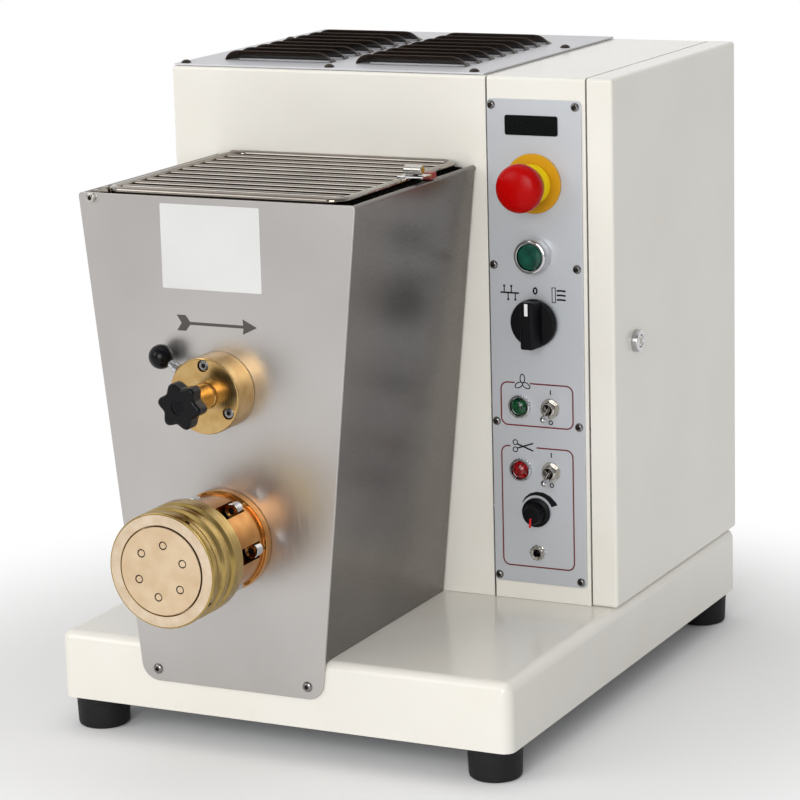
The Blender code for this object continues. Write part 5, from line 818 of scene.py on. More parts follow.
for group, z in (("fan", 253), ("cutter", 198.5)):
    thread = []
    for i in range(8):
        thread += [(5.9, 0.3 + 0.9 * i), (5.45, 0.75 + 0.9 * i)]
    bush = lathe([(5.1, 8)] + [(5.6, 8)] + thread[::-1] + [(5.9, 0), (5.9, -4.4), (0, -4.4), (0, 0), (2.2, 0),
                                                           (2.2, 2),
                                                           (4.6, 7.6)], 64)
    washer = lathe([(6.0, 1), (8.1, 1), (8.3, 0.8), (8.3, 0), (6.0, 0)], 64)
    nut = hexagon(7.3, 1.0, 4.5, 5.6)
    case = block((-6.5, -13.5, -23.9), (6.5, 13.5, -3.9), 0.8)
    shown(f"{group}_toggle_bush", on_panel(joined(bush, washer, nut), 147.2, z), NICKEL, "machine",
          (f"{group}_toggle_body",))
    shown(f"{group}_toggle_case", on_panel(case, 147.2, z), BLACK_PHENOLIC, "machine")
    lever = lathe([(0, 17.4), (1.3, 17.1), (2.3, 16.2), (2.8, 15), (2.9, 14), (2.7, 12.4), (2.4, 10.6),
                   (2.15, 8), (2.0, 4),
                   (1.9, 2), (1.9, 1), (1.9, 0), (1.6, -1.1), (0.9, -1.7), (0, -1.9)], 40, closed=False)
    lean = Matrix.Translation(at(147.2, CONTROL_Y - 2, z)) @ Matrix.Rotation(math.radians(115), 4, "X")
    shown(f"{group}_toggle_bat", moved(lever, lean), CHROME, f"{group}_toggle", (f"{group}_toggle_lever",))

# %% Speed knob and jack socket
knob = lathe([(0, 12.3), (6.8, 12.4), (7.4, 12.2), (7.9, 11.6), (9.6, 5.4), (9.8, 4.4), (9.8, 3.6),
              (11.9, 3.1), (12.4, 2.6),
              (12.5, 2), (12.5, 0.3), (3, 0.3), (3, -13), (0, -13)], 144, closed=False)
ridged(knob, 24, 0.55, 4, 11.9, 7.7)
shown("speed_knob_cap", on_panel(knob, 133.3, 162.5), BLACK_NYLON, "speed_control", ("speed_knob",))
pointer = block((-0.9, 2.5, 11.2), (0.9, 10.6, 13), 0.3)
arm = moved(pointer, Matrix.Rotation(math.radians(174), 4, "Z"))
shown("speed_knob_pointer", on_panel(arm, 133.3, 162.5), POINTER_RED, "speed_control")

socket = lathe([(3.3, 2.9), (3.7, 3.4), (4.6, 3.5), (4.8, 3.2), (4.8, -16), (3.3, -16)], 64)
nut = lathe([(4.75, 3.2), (5.6, 3.2), (6.3, 2.8), (6.7, 2.2), (6.7, 0.2), (6.5, 0), (4.75, 0)], 144)
ridged(nut, 12, 0.8, 0.1, 2.9, 6.0)
shown("jack_socket_barrel", on_panel(joined(socket, nut), 133.8, 127.4), NICKEL, "machine", ("jack_socket",))
print("small controls made")

# %% [markdown]
# ## The side door's lock and the cable gland
#
# A quarter-turn cam lock keeps the electrical compartment shut. The gland low on the back is the way in
# for the mains cable: a hexagon, a fluted dome nut and a rubber throat.

# %% Lock and gland
lock = lathe([(5.3, 4.4), (5.6, 4.9), (8.6, 5), (9.2, 4.6), (9.5, 3.8), (9.5, 0.3), (7.8, 0.3), (7.8, -25.5),
              (5.3, -25.5)])
shown("door_lock_barrel", moved(lock, facing_right(205, 14, 305.5)), CHROME, "door", ("door_lock_body",))
core = lathe([(0, 4.7), (4.4, 4.7), (5, 4.2), (5, -28.3), (0, -28.3)], 64, closed=False)
core = bored(core, [block((-2.5, -0.75, 0), (2.5, 0.75, 6))])
cam = block((-22, -7, -28.3), (7, 7, -25.8), 0.4)
shown("door_lock_plug", moved(joined(core, cam), facing_right(205, 14, 305.5)), NICKEL, "lock_core",
      ("door_lock_core",))
gland = lathe([(6, 24.5), (7.4, 24.5), (8.6, 23.6), (10.4, 18), (11, 14), (11, 10.2), (11, 10), (12.5, 10),
               (12.5, 0.3),
               (6.5, 0.3), (6.5, -3.8), (6, -3.8)], 96)
ridged(gland, 16, 0.7, 11, 20, 9.5)
ridged(gland, 6, 1.2, 0.2, 10.1, 12)
turn = Matrix.Translation(at(137, 252.5, 120)) @ Matrix.Rotation(-math.pi / 2, 4, "X")
shown("cable_gland_body", moved(gland, turn), BLACK_NYLON, "machine", ("cable_gland",))
print("lock and gland made")

# %% [markdown]
# ## The hopper
#
# Stainless sheet leans outwards to a wide mouth: a thick front plate that carries both bearings,
# and one folded sheet for the sides and back. The sides' top edges are rolled into a hem,
# so that no cut edge is left where hands reach in.

# %% Front plate with its printed fields
HOPPER_Y = -256.3


def half_width(z):
    """Half the hopper's width at a height on the drawing."""
    return 82.4 + (z - 52.5) / 402.5 * 41.6


def rounded_outline(corner_list, steps=9):
    """Corners as (x, y, radius), joined by straight lines and rounded."""
    points = []
    for i, (x, y, radius) in enumerate(corner_list):
        here = Vector((x, y))
        before = (Vector(corner_list[i - 1][:2]) - here).normalized()
        after = (Vector(corner_list[(i + 1) % len(corner_list)][:2]) - here).normalized()
        half = before.angle(after) / 2
        centre = here + (before + after).normalized() * radius / math.sin(half)
        start = here + before * radius / math.tan(half) - centre
        end = here + after * radius / math.tan(half) - centre
        for k in range(steps):
            turn = start.lerp(end, k / (steps - 1)).normalized() * radius
            points.append((centre.x + turn.x, centre.y + turn.y))
    return points


bottom, top = half_width(52.5), half_width(455)
outline = rounded_outline([(AXIS_X - bottom, 52.5, 15), (AXIS_X + bottom, 52.5, 15),
                           (AXIS_X + top, 455, 3), (AXIS_X - top, 455, 3)])
plate = moved(flat_shape(outline, 0, 2, 0.35), facing_front(0, HOPPER_Y + 2, 0))
bolt_places = [(AXIS_X + x, AUGER_Z + z) for x, z in circle_points(35.5, 6, start=-2)]
cuts = [hole(12, AXIS_X, HOPPER_Y, MIXER_Z), hole(30.3, AXIS_X, HOPPER_Y, AUGER_Z),
        hole(2.8, -152.6, HOPPER_Y, 451)]
cuts += [hole(3.8, x, HOPPER_Y, z) for x, z in bolt_places]
shown("hopper_front_sheet", bored(plate, cuts), SATIN_STAINLESS, "machine", ("hopper_front_plate",))

label = flat_shape(rounded_outline([(-90, 381.5, 1.2), (-0.6, 381.5, 1.2), (-0.6, 449.5, 1.2),
                                    (-90, 449.5, 1.2)]), 0, 0.15)
shown("blank_label", moved(label, facing_front(0, HOPPER_Y, 0)), BLANK_LABEL, "machine",
      weighted=False)
arrow = flat_shape([(-78.4, 360.4), (-70.4, 360.4), (-66.4, 355.2), (-18.2, 355.2), (-18.8, 360.2), (-6, 354),
                    (-18.8, 347.8), (-18.2, 352.8), (-66.4, 352.8), (-70.4, 347.6), (-78.4, 347.6),
                    (-74.2, 354)],
                   -0.06, 0.06)
shown("etched_turn_arrow", moved(arrow, facing_front(0, HOPPER_Y - 0.06, 0)), ETCHED_MARK, "machine",
      weighted=False)
for i, (x, z) in enumerate([(-109.8, 62.5), (28.3, 63)]):
    shown(f"hopper_screw_{i + 1}", moved(screw_head(4.4, 2.2, 2.0, 1.6), facing_front(x, HOPPER_Y, z)),
          ZINC_SCREW,
          "machine", painted_shade=PAINTED_SHADE_RECESS)

# %% Sides and back with their hems
LOW, HIGH, FRONT_Y, BACK_Y = 84.8, 452, -254, -32.3
shell = block((-1, -1, -1), (1, 1, 1))
shell.normal_update()
gone = [f for f in shell.faces if abs(f.normal.z) > 0.5 or f.normal.y < -0.5]
bmesh.ops.delete(shell, geom=gone, context="FACES")
for vert in shell.verts:
    z = HIGH if vert.co.z > 0 else LOW
    side = 1 if vert.co.x > 0 else -1
    vert.co = at(AXIS_X + side * half_width(z), BACK_Y if vert.co.y > 0 else FRONT_Y, z)
uprights = [e for e in shell.edges if not e.is_boundary]
bmesh.ops.bevel(shell, geom=uprights, offset=4 * MM, segments=5, profile=0.5, affect="EDGES", material=-1)
shell = bored(walled(shell, 2), [hole(12, AXIS_X, BACK_Y, z) for z in (MIXER_Z, AUGER_Z)])
hems = [rod((AXIS_X + s * (half_width(HIGH) - 2.8), FRONT_Y, HIGH),
            (AXIS_X + s * (half_width(HIGH) - 2.8), BACK_Y, HIGH),
            2.8, 32, 0.5) for s in (-1, 1)]
# The sides' darker colour is painted shade and painted reflection.
shown("hopper_side_sheet", joined(shell, *hems), SIDE_STAINLESS_PAINTED_SHADE, "machine", ("hopper_shell",))

# %% [markdown]
# ## The kneading tank
#
# Inside stands a trough with a half-round bottom, rolled round the mixer's axis so that the paddles clean it.
# It is drawn as the outline of its cross-section, pulled along the shaft and closed at both ends.

# %% Trough
TANK_FRONT, TANK_BACK, TANK_TOP = -253.7, -34.6, 448.0
mouth_half = half_width(TANK_TOP) - 4
lean = math.atan2(mouth_half - 80, TANK_TOP - MIXER_Z)
bottom = circle_points(80, 49, AXIS_X, MIXER_Z, 180 - math.degrees(lean), 180 + 2 * math.degrees(lean))
section = [(AXIS_X - mouth_half, TANK_TOP)] + bottom + [(AXIS_X + mouth_half, TANK_TOP)]
trough = bmesh.new()
front = [trough.verts.new(at(x, TANK_FRONT, z)) for x, z in section]
back = [trough.verts.new(at(x, TANK_BACK, z)) for x, z in section]
for i in range(len(section) - 1):
    trough.faces.new((front[i], front[i + 1], back[i + 1], back[i]))
trough.faces.new(front)
trough.faces.new(back)
bmesh.ops.recalc_face_normals(trough, faces=trough.faces)
if sum(f.normal.z * f.calc_area() for f in trough.faces) > 0:
    bmesh.ops.reverse_faces(trough, faces=trough.faces)
trough = bored(walled(trough, 2), [hole(12, AXIS_X, TANK_FRONT, MIXER_Z), hole(12, AXIS_X, TANK_BACK, MIXER_Z),
                                   drawing_block((-59, -120, 216), (-23, -60, 260))])
rests = []
for y in (TANK_FRONT, TANK_BACK - 2):
    rests.append(drawing_block((-144, y, 446), (71, y + 2, 453.2), 0.3))
    ear = flat_shape(rounded_outline([(-158.6, 444, 0.5), (-146.6, 444, 0.5), (-146.6, 455, 3),
                                      (-158.6, 455, 3)]), -2, 0)
    rests.append(bored(moved(ear, facing_front(0, y, 0)), [hole(2.8, -152.6, y, 451)]))
# The trough's dark steel colour is painted shade.
shown("mixing_tank_trough", joined(trough, *rests), TANK_STEEL_PAINTED_SHADE, "machine", ("mixing_tank",))
print("hopper and tank made")

# %% [markdown]
# ## The safety grille
#
# Ten round bars are welded into a ring of the same bar, near enough to keep fingers out.
# The lid turns on a screw through its two eyes. On the free side a bracket carries a magnet;
# when it leaves the red sensor, the machine stops.

# %% Lid, hinge screw, magnet and sensor
LEVEL = 456.8
BAR_LEFT, BAR_RIGHT, BAR_FRONT, BAR_BACK = -141, 68, -249.5, -38.8


def bent_rod(points, radius):
    """A closed ring of round bar along points of the machine's drawing."""
    path = bpy.data.curves.new("bar", "CURVE")
    path.dimensions = "3D"
    path.bevel_depth = radius * MM
    path.bevel_resolution = 6
    line = path.splines.new("POLY")
    line.points.add(len(points) - 1)
    for point, place in zip(line.points, points):
        point.co = (*at(*place), 1)
    line.use_cyclic_u = True
    holder = bpy.data.objects.new("bar", path)
    bpy.context.scene.collection.objects.link(holder)
    return shape_of(holder)


ring = []
for cx, cy, start in ((BAR_RIGHT - 12, BAR_BACK - 12, 0), (BAR_LEFT + 12, BAR_BACK - 12, 90),
                      (BAR_LEFT + 12, BAR_FRONT + 12, 180), (BAR_RIGHT - 12, BAR_FRONT + 12, 270)):
    ring += [(x, y, LEVEL) for x, y in circle_points(12, 9, cx, cy, start, 90)]
grille = [bent_rod(ring, 3)]
for i in range(1, 11):
    y = BAR_FRONT + (BAR_BACK - BAR_FRONT) * i / 11
    grille.append(rod((BAR_LEFT, y, LEVEL), (BAR_RIGHT, y, LEVEL), 2.0, 32, 0.4))
    for x in (BAR_LEFT, BAR_RIGHT):
        weld = bmesh.new()
        bmesh.ops.create_uvsphere(weld, u_segments=16, v_segments=10, radius=3.3 * MM)
        bmesh.ops.scale(weld, vec=(1.0, 1.0, 0.8), verts=weld.verts)
        grille.append(moved(weld, Matrix.Translation(at(x, y, LEVEL))))
for y in (-251.4, -40.9):
    eye = lathe([(5.5, 3.6), (5.1, 4), (2.8, 4), (2.8, 0), (5.1, 0), (5.5, 0.4)], 48)
    grille.append(moved(eye, Matrix.Translation(at(-152.6, y, 451)) @ Matrix.Rotation(-math.pi / 2, 4, "X")))
    arm = flat_shape([(-150, 454.6), (-149.2, 447.6), (-139.6, 453.6), (-141, 459.4), (-145, 459.4)], -4, 0,
                     0.4)
    grille.append(moved(arm, facing_front(0, y, 0)))
shown("safety_grille", joined(*grille), ROUND_BAR_STEEL, "lid", ("grille_lid",))
bracket = drawing_block((62, -139, 458.3), (84.5, -121, 460.3), 0.5)
shown("magnet_bracket", bracket, CHROME, "lid")
magnet = lathe([(0, 16), (3.3, 16), (3.9, 15.4), (3.9, 0.6), (3.3, 0), (0, 0)], 64, closed=False)
shown("lid_magnet_capsule", moved(magnet, facing_right(65, -130, 464.5)), NICKEL, "lid", ("lid_magnet",))
pin = [rod((72, -124, 460.2), (72, -124, 467), 1.3, 20, 0.3),
       rod((72, -124, 460.1), (72, -124, 461.4), 2.5, 6, 0.2)]
shown("magnet_bracket_pin", joined(*pin), ZINC_SCREW, "lid")
sensor = drawing_block((76.4, -119.5, 455.1), (83.2, -109, 460.9), 1.1, 3)
shown("lid_sensor_housing", sensor, SENSOR_RED, "machine", ("lid_sensor",))


def socket_screw(radius, height, shank, length, hex_radius, hex_depth, knurls=0):
    """A cap screw along Z: its head stands on z = 0 and its shank runs down."""
    edge = radius * 0.08
    screw = lathe([(0, height), (radius - 2 * edge, height), (radius - edge * 0.6, height - edge * 0.6),
                   (radius, height - 2 * edge), (radius, edge), (radius - edge, 0), (shank, 0),
                   (shank, -length),
                   (0, -length)], 96, closed=False)
    if knurls:
        ridged(screw, knurls, radius * 0.05, edge * 1.1, height - 2.1 * edge, radius * 0.9)
    key = flat_shape(circle_points(hex_radius, 6, start=30), height - hex_depth, height + 1)
    # The hexagon socket gets painted shade.
    return mark_painted_shade(bored(screw, [key]), hex_radius * 1.02, 0, height - 0.2)


hinge_screw = socket_screw(3.8, 3, 2.5, 222, 2.0, 1.6)
shown("lid_hinge_screw", moved(hinge_screw, facing_front(-152.6, -256.6, 451)), NICKEL, "machine",
      ("lid_hinge_rod",), painted_shade=PAINTED_SHADE_RECESS)
print("grille made")

# %% [markdown]
# ## The mixer's front bearing
#
# A brass flange is turned from bar: a thick disc with a long boss, a narrow groove where they meet,
# and three counterbored screws. A chromed plunger with a black ball locks the shaft's bearing.
# The shaft itself comes out by pulling the plunger and the six-lobed knob.

# %% Flange, screws and plunger
FITTING_Y = -256.6
flange = lathe([(4.3, 52.6), (9.4, 52.6), (10.3, 52.3), (10.8, 51.4), (10.8, 29.2), (10.5, 28.8), (10.1, 28.6),
                (9.9, 28.2),
                (9.9, 27), (10.1, 26.6), (10.4, 26.4), (29.6, 26.4), (30.6, 26.1), (31, 25.2), (31, 0.5),
                (30.6, 0),
                (10.3, 0), (10.3, 22.4), (4.3, 22.4)], 128)
flange_screws = circle_points(24.5, 3, start=90)
mid_turn = Matrix.Translation((0, 0, 13.2 * MM)) @ Matrix.Rotation(math.radians(150), 4, "Z") @ \
    Matrix.Rotation(math.pi / 2, 4, "Y")
flange = bored(flange, [drill(5, 21.2, 28, x, y) for x, y in flange_screws] + [moved(drill(5.3, 28, 36),
                                                                                     mid_turn)])
guide = lathe([(3.3, 34), (5.0, 34), (5.5, 33.5), (5.5, 26), (3.3, 26)], 48)
aim = facing_front(AXIS_X, FITTING_Y, MIXER_Z)
shown("bearing_flange", moved(joined(flange, moved(guide, mid_turn)), aim), TURNED_BRASS, "machine",
      ("mixer_flange",))
for i, (x, y) in enumerate(flange_screws):
    screw = socket_screw(4.25, 4.4, 2.5, 12, 2.1, 2.2, 32)
    place = facing_front(AXIS_X + x, FITTING_Y - 21.2, MIXER_Z + y)
    shown(f"flange_screw_{i + 1}", moved(screw, place), ZINC_SCREW, "machine", painted_shade=PAINTED_SHADE_RECESS)
stem = lathe([(0, 44.5), (3, 44.5), (3, 38.5), (4.3, 38.5), (4.6, 38.2), (4.6, 34.6), (4.3, 34.3), (3, 34.3),
              (3, 11),
              (2.6, 10.6), (0, 10.6)], 48, closed=False)
shown("plunger_stem", moved(stem, aim @ mid_turn), CHROME, "plunger", ("lock_plunger",))
ball = lathe([(0, 62.5)] + [(10 * math.cos(math.radians(a)), 52.5 + 10 * math.sin(math.radians(a)))
                            for a in range(84, -61, -6)] + [(4.2, 43.4), (0, 43.4)], 64, closed=False)
shown("plunger_ball_grip", moved(ball, aim @ mid_turn), BLACK_PHENOLIC, "plunger")

# %% Lobed knob
lobes = []
for i in range(180):
    a = math.tau * i / 180
    reach = 16.8 + 2.2 * math.cos(6 * a + 1)
    lobes.append((reach * math.cos(a), reach * math.sin(a)))
knob = flat_shape(lobes, 52.9, 67.4)
rims = [e for e in knob.edges if abs(e.verts[0].co.z - e.verts[1].co.z) < 1e-7]
bmesh.ops.bevel(knob, geom=rims, offset=2.4 * MM, segments=5, profile=0.5, affect="EDGES", material=-1)
dish = lathe([(0, 69), (6.5, 69), (6.5, 66.7), (6.2, 66.4), (0, 66.4)], 64, closed=False)
knob = bored(knob, [dish])
stud = moved(rod((0, 0, 0), (0, 0, 46.5), 4, 32), Matrix.Translation(-at(0, 0, 0) + Vector((0, 0, 6.4 * MM))))
shown("lobed_knob", moved(knob, aim), BLACK_PHENOLIC, "star_knob_body", ("star_knob",))
shown("lobed_knob_stud", moved(stud, aim), NICKEL, "star_knob_body")
insert = lathe([(0, 66.8), (3.8, 66.8), (4.2, 66.5), (4.2, 66.3), (0, 66.3)], 48, closed=False)
shown("lobed_knob_cap", moved(insert, aim), BLACK_NYLON, "star_knob_body")

# %% Kneading shaft
shaft = lathe([(4.3, 292.7), (9.4, 292.7), (10, 292.1), (10, 0.6), (9.4, 0), (0, 0), (0, 276.7), (4.3, 276.7)],
              64)
paddles = [moved(shaft, facing_front(AXIS_X, 14, MIXER_Z))]
for i in range(5):
    blade = flat_shape(rounded_outline([(-15, 5, 1), (15, 5, 1), (15, 68, 9), (-15, 68, 9)]), -3, 3, 1)
    turn = Matrix.Rotation(math.tau * i / 5, 4, "Z") @ Matrix.Rotation(math.radians(35), 4, "Y")
    paddles.append(moved(blade, facing_front(AXIS_X, -144.15 + (i - 2) * 36, MIXER_Z) @ turn))
    boss = lathe([(10, 9), (12.4, 7), (12.4, -7), (10, -9)], 48)
    paddles.append(moved(boss, facing_front(AXIS_X, -144.15 + (i - 2) * 36, MIXER_Z)))
# The shaft shares the tank's painted shade colour.
shown("kneading_shaft", joined(*paddles), TANK_STEEL_PAINTED_SHADE, "mixer", ("mixer_shaft",))
print("mixer made")

# %% [markdown]
# ## The extruder
#
# The bronze barrel is bolted on through a thin flange; its thick front is scalloped so that a key reaches
# the six bolts. The brass ring nut screws over it and clamps the die. The nut's two grooves give grip
# to wet hands, and the small bores in its front band take a pin spanner.

# %% Barrel and bolts
barrel = lathe([(24, 86.1), (39.8, 86.1), (40.4, 85.5), (40.4, 56), (38.8, 54.4), (38.8, 8.6), (39.2, 8.1),
                (41.0, 8), (41.5, 7.6), (41.5, 0.5),
                (41.1, 0), (30, 0), (30, -220), (24, -220)], 144)
scallops = [drill(7.4, 14, 52.9, x, y) for x, y in circle_points(35.5, 6, start=-2)]
shanks = [drill(3.8, -2, 16, x, y) for x, y in circle_points(35.5, 6, start=-2)]
aim = facing_front(AXIS_X, FITTING_Y, AUGER_Z)
barrel = moved(bored(barrel, scallops + shanks), aim)
chute = drawing_block((-63, -124, 203.5), (-19, -56, 221.7), 1)
throat = drawing_block((-59, -120, 179.5), (-23, -60, 224))
barrel = bored(joined(barrel, chute), [throat])
shown("extruder_barrel_bronze", barrel, BARREL_BRONZE, "machine", ("extruder_barrel",))
for i, (x, z) in enumerate(bolt_places):
    bolt = socket_screw(6, 9, 3.5, 18, 3.1, 4.5, 40)
    shown(f"barrel_cap_screw_{i + 1}", moved(bolt, facing_front(x, FITTING_Y - 14.2, z)), CHROME, "machine",
          (f"barrel_bolt_{i + 1}",), painted_shade=PAINTED_SHADE_RECESS)

# %% Ring nut
nut = lathe([(36.4, 103.1), (36.7, 103.4), (44.9, 103.4), (46.0, 102.9), (46.5, 101.8), (46.5, 97.1),
             (46.2, 96.4),
             (44.6, 92.6), (44.33, 91.5), (44.33, 87.6), (44.6, 86.5), (46.2, 84.3), (46.5, 83.6), (46.5, 78.7),
             (46.2, 78.0), (44.6, 75.4), (44.33, 74.7), (44.33, 71.6), (44.6, 70.8), (46.2, 69.2), (46.5, 68.5),
             (46.5, 56.1), (46.0, 55.2), (45.2, 54.9), (41.4, 54.9), (40.8, 55.5), (40.8, 97.4), (36.4, 97.4)],
             192)
spanner = []
for a in range(60, 420, 90):
    radial = Matrix.Rotation(math.radians(a), 4, "Z") @ Matrix.Rotation(math.pi / 2, 4, "Y")
    spanner.append(moved(drill(2.0, 42.5, 50), Matrix.Translation((0, 0, 100 * MM)) @ radial))
nut = bored(nut, spanner)
piece = shown("ring_nut_brass", moved(nut, aim), NUT_BRASS, "nut", ("ring_nut",))
piece.data.materials.append(CAST_BRASS)
front_y = at(0, FITTING_Y - 103.3, 0).y
for face in piece.data.polygons:
    if face.normal.y < -0.9 and face.center.y < front_y:
        face.material_index = 1

# %% Die and its inserts
die = lathe([(0, 104.3), (35.0, 104.3), (35.4, 103.9), (35.4, 97.1), (40.2, 97.1), (40.2, 86.4), (26, 86.4),
             (26, 96.2),
             (0, 96.2)], 144, closed=False)
spots = circle_points(21.2, 6, start=22)
die = bored(die, [drill(3.5, 102.6, 106, x, y) for x, y in spots] + [drill(1.9, 94, 106, x, y) for x,
                                                                     y in spots])
shown("die_disc", moved(die, aim), DIE_BRASS, "machine", ("die_body",))
for i, (x, y) in enumerate(spots):
    place = facing_front(AXIS_X + x, FITTING_Y, AUGER_Z + y)
    insert = lathe([(0, 104.3), (2.4, 104.3), (2.65, 104), (2.65, 102.65), (0, 102.65)], 48, closed=False)
    shown(f"die_insert_{i + 1}", moved(insert, place), DIE_BRASS, "machine")
    # A thin dark ring of painted shade fills the gap between each insert and its counterbore.
    ring = lathe([(2.7, 104.1), (3.45, 104.1), (3.45, 102.65), (2.7, 102.65)], 48)
    shown(f"die_insert_shade_ring_{i + 1}", moved(ring, place), PAINTED_SHADE_RECESS, "machine", weighted=False)
print("extruder made")

# %% [markdown]
# ## The electrical compartment
#
# Behind the side door a folded tray carries the speed drive, two contactors on a rail and a terminal block.
# Simple boxes with their real features are enough here: fins, a blank display, screw rows.

# %% Tray and switchgear
tray = walled(folded((100, 30, 84.8), (112, 239, 484.8), [RIGHT], 1.5), 1.5)
rail = drawing_block((100.75, 42, 278.8), (108.25, 227, 313.8), 0.6)
shown("panel_tray", joined(tray, rail), GALVANISED_SHEET, "machine", ("electrical_panel",))
drive = [drawing_block((101.5, 79.5, 96.8), (160.75, 189.5, 246.8), 2.5)]
drive += [drawing_block((112, 188.9, 104 + 9 * i), (156, 192.5, 108 + 9 * i), 0.5) for i in range(15)]
shown("speed_drive_case", joined(*drive), DRIVE_GREY, "machine")
window = drawing_block((160.6, 112, 202), (161.4, 157, 226), 0.3)
keys = [drawing_block((160.6, 106 + 16 * i, 180), (162.2, 117 + 16 * i, 188), 0.6) for i in range(4)]
shown("speed_drive_keypad", joined(window, *keys), BLACK_PHENOLIC, "machine")
for i in range(2):
    y = 109.5 + 50 * i
    body = [drawing_block((108.3, y - 22.5, 258.8), (150, y + 22.5, 333.8), 1.5),
            drawing_block((149, y - 18, 274), (164.8, y + 18, 319), 1.5)]
    shown(f"contactor_{i + 1}", joined(*body), SWITCHGEAR_GREY, "machine")
    heads = [moved(screw_head(3, 1.2, 1.2, 0.8, 4), facing_right(150, y - 15 + 10 * k,
                                                                 z)) for k in range(4) for z in (265, 328)]
    shown(f"contactor_screws_{i + 1}", joined(*heads), ZINC_SCREW, "machine")
blocks = [drawing_block((101, 84.5 + 10 * k, 345.8), (136.75, 94.1 + 10 * k, 390.8), 0.8) for k in range(10)]
shown("terminal_row", joined(*blocks), SWITCHGEAR_GREY, "machine")
heads = [moved(screw_head(2.6, 1.0, 1.0, 0.7, 4), facing_right(136.7, 89.3 + 10 * k,
                                                               z)) for k in range(10) for z in (352, 385)]
shown("terminal_screws", joined(*heads), ZINC_SCREW, "machine")

# %% [markdown]
# ## Pieces that keep their CAD shape
#
# What sits deep inside the tower or the barrel is seen only through a slot, so its CAD shape is fine enough.
# Each still gets the finish of the real thing: ground shafts, cut gears, a painted motor, galvanised plates.

# %% Finishes of the inner pieces
INNER = {"base_bottom_plate": GALVANISED_SHEET, "drive_frame": GALVANISED_SHEET, "gearmotor": GREY_CASTING,
         "fan_frame": BLACK_NYLON, "fan_rotor": BLACK_NYLON, "auger": GROUND_STEEL, "mixer_gear": GROUND_STEEL,
         "auger_gear": GROUND_STEEL, "e_stop_stem": BLACK_NYLON}
for node, finish in INNER.items():
    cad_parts[node].data.materials[0] = finish
print("inner pieces finished", len(INNER))

# %% [markdown]
# ## Camera, light and floor
#
# The view is from the front right, a little above the machine, with a long lens. Soft panels light it
# from the left, the front and above. The background is plain white to the camera, and mirrors and glass see
# that white behind the machine, but a dimmer room on the camera's side, which is what gives bright metal
# its dark lines. The light that scatters stays moderate, so that the cream paint keeps its tone.

# %% Camera
camera = bpy.data.objects.new("camera", bpy.data.cameras.new("camera"))
camera.matrix_world = Matrix(((0.8983, -0.0734, 0.4331, 1.1712), (0.4385, 0.2072, -0.8745, -2.3463),
                              (-0.0256, 0.9756, 0.2183, 0.8376), (0, 0, 0, 1)))
camera.data.lens = 142.04
camera.data.sensor_width = 36
bpy.context.scene.collection.objects.link(camera)
bpy.context.scene.camera = camera

# %% Soft panels
def panel_light(name, place, target, size, power):
    lamp = bpy.data.lights.new(name, "AREA")
    lamp.shape = "RECTANGLE"
    lamp.size, lamp.size_y = size
    lamp.energy = power
    holder = bpy.data.objects.new(name, lamp)
    holder.location = place
    holder.rotation_euler = (Vector(target) - Vector(place)).to_track_quat("-Z", "Y").to_euler()
    bpy.context.scene.collection.objects.link(holder)


panel_light("key_panel", (-1.5, -2.0, 1.5), (0, 0, 0.3), (1.4, 1.4), 14)
panel_light("front_panel", (0.6, -2.8, 1.1), (0, 0, 0.45), (1.4, 1.4), 38)
panel_light("top_panel", (0, 0.1, 2.2), (0, 0, 0.4), (1.6, 1.6), 3)

# %% Floor
def seen_directly(tree):
    """1 for what the camera, a mirror or clear glass shows, 0 for light that scatters."""
    path = add(tree, "LightPath")
    mirrored = add(tree, "Math", {0: path.outputs["Is Camera Ray"], 1: path.outputs["Is Glossy Ray"]},
                   operation="MAXIMUM")
    return add(tree, "Math", {0: mirrored.outputs[0], 1: path.outputs["Is Transmission Ray"]},
               operation="MAXIMUM")


THROWN_BACK_SHARE, SHOWN_SHARE = 0.74, 0.97
FADE_START_M, FADE_END_M = 0.31, 0.64


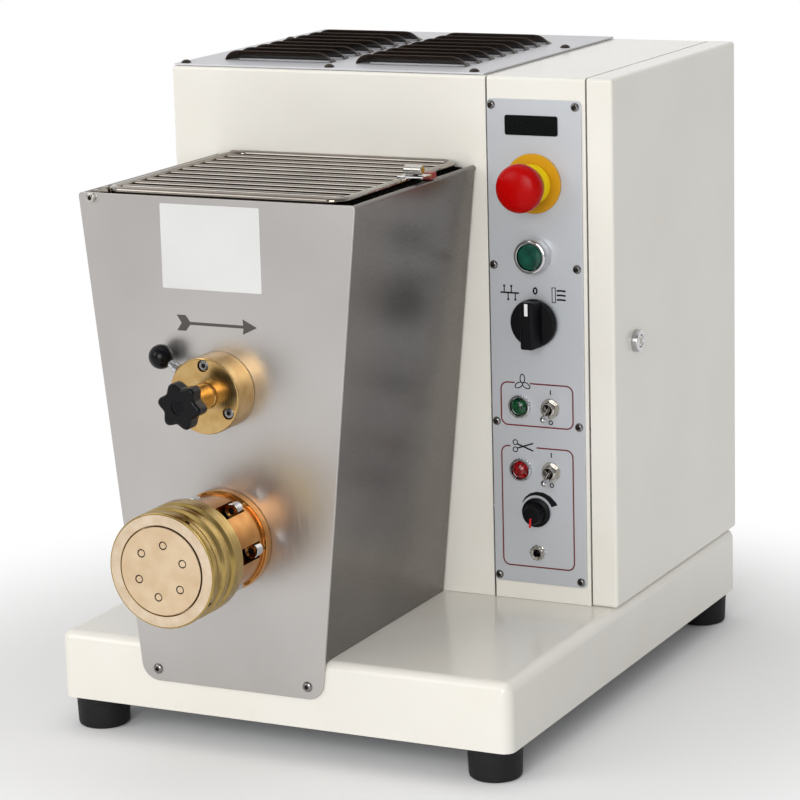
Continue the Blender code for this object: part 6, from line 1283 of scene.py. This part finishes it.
def paper_finish():
    """White paper that throws back less light than it shows, and fades to plain white past the shadow."""
    made = bpy.data.materials.new("white_paper_sweep")
    made.use_nodes = True
    tree = made.node_tree
    shader = tree.nodes["Principled BSDF"]
    where = add(tree, "TexCoord").outputs["Object"]
    grain = add(tree, "TexNoise", {"Vector": where, "Scale": 900.0})
    relief = add(tree, "Bump", {"Height": grain.outputs["Fac"], "Distance": 0.01 * MM})
    tree.links.new(relief.outputs[0], shader.inputs["Normal"])
    paper = add(tree, "MapRange", {"Value": seen_directly(tree).outputs[0],
                                   "To Min": THROWN_BACK_SHARE, "To Max": SHOWN_SHARE})
    tree.links.new(paper.outputs[0], shader.inputs["Base Color"])
    shader.inputs["Roughness"].default_value = 0.9
    shader.inputs["Specular IOR Level"].default_value = 0.1
    radius = add(tree, "VectorMath", {0: where}, operation="LENGTH")
    far = add(tree, "MapRange", {"Value": radius.outputs["Value"], "From Min": FADE_START_M,
                                 "From Max": FADE_END_M, "To Min": 0.0, "To Max": 1.0},
              interpolation_type="SMOOTHSTEP")
    share = add(tree, "Math", {0: far.outputs[0], 1: seen_directly(tree).outputs[0]}, operation="MULTIPLY")
    white = add(tree, "Emission", {"Color": (1, 1, 1, 1), "Strength": 1.0})
    mix = add(tree, "MixShader", {0: share.outputs[0], 1: shader.outputs[0], 2: white.outputs[0]})
    tree.links.new(mix.outputs[0], tree.nodes["Material Output"].inputs["Surface"])
    return made


sweep = bmesh.new()
bmesh.ops.create_grid(sweep, x_segments=1, y_segments=1, size=6)
bmesh.ops.translate(sweep, vec=(0, 0, -0.0002), verts=sweep.verts)
sheet_mesh = bpy.data.meshes.new("paper_floor")
sweep.to_mesh(sheet_mesh)
sweep.free()
sheet_mesh.materials.append(paper_finish())
floor = bpy.data.objects.new("paper_floor", sheet_mesh)
bpy.context.scene.collection.objects.link(floor)

# %% Background
world = bpy.data.worlds.new("white_room")
world.use_nodes = True
bpy.context.scene.world = world
tree = world.node_tree
tree.nodes.clear()
where = add(tree, "TexCoord").outputs["Generated"]
toward = add(tree, "VectorMath", {0: where, 1: (-0.44, 0.87, 0.22)}, operation="DOT_PRODUCT")
depth = add(tree, "MapRange", {"Value": toward.outputs["Value"], "From Min": -0.3, "From Max": 0.7,
                               "To Min": 0.3, "To Max": 1.0})
room = add(tree, "Background", {"Color": (1, 1, 1, 1), "Strength": 0.54})
mirrored = add(tree, "Background", {"Color": (1, 1, 1, 1), "Strength": depth.outputs[0]})
seen = add(tree, "Background", {"Color": (1, 1, 1, 1), "Strength": 1.0})
lit = add(tree, "MixShader", {0: seen_directly(tree).outputs[0], 1: room.outputs[0], 2: mirrored.outputs[0]})
camera_ray = add(tree, "LightPath").outputs["Is Camera Ray"]
mix = add(tree, "MixShader", {0: camera_ray, 1: lit.outputs[0], 2: seen.outputs[0]})
add(tree, "OutputWorld", {"Surface": mix.outputs[0]})
bpy.context.scene.view_settings.view_transform = "Standard"
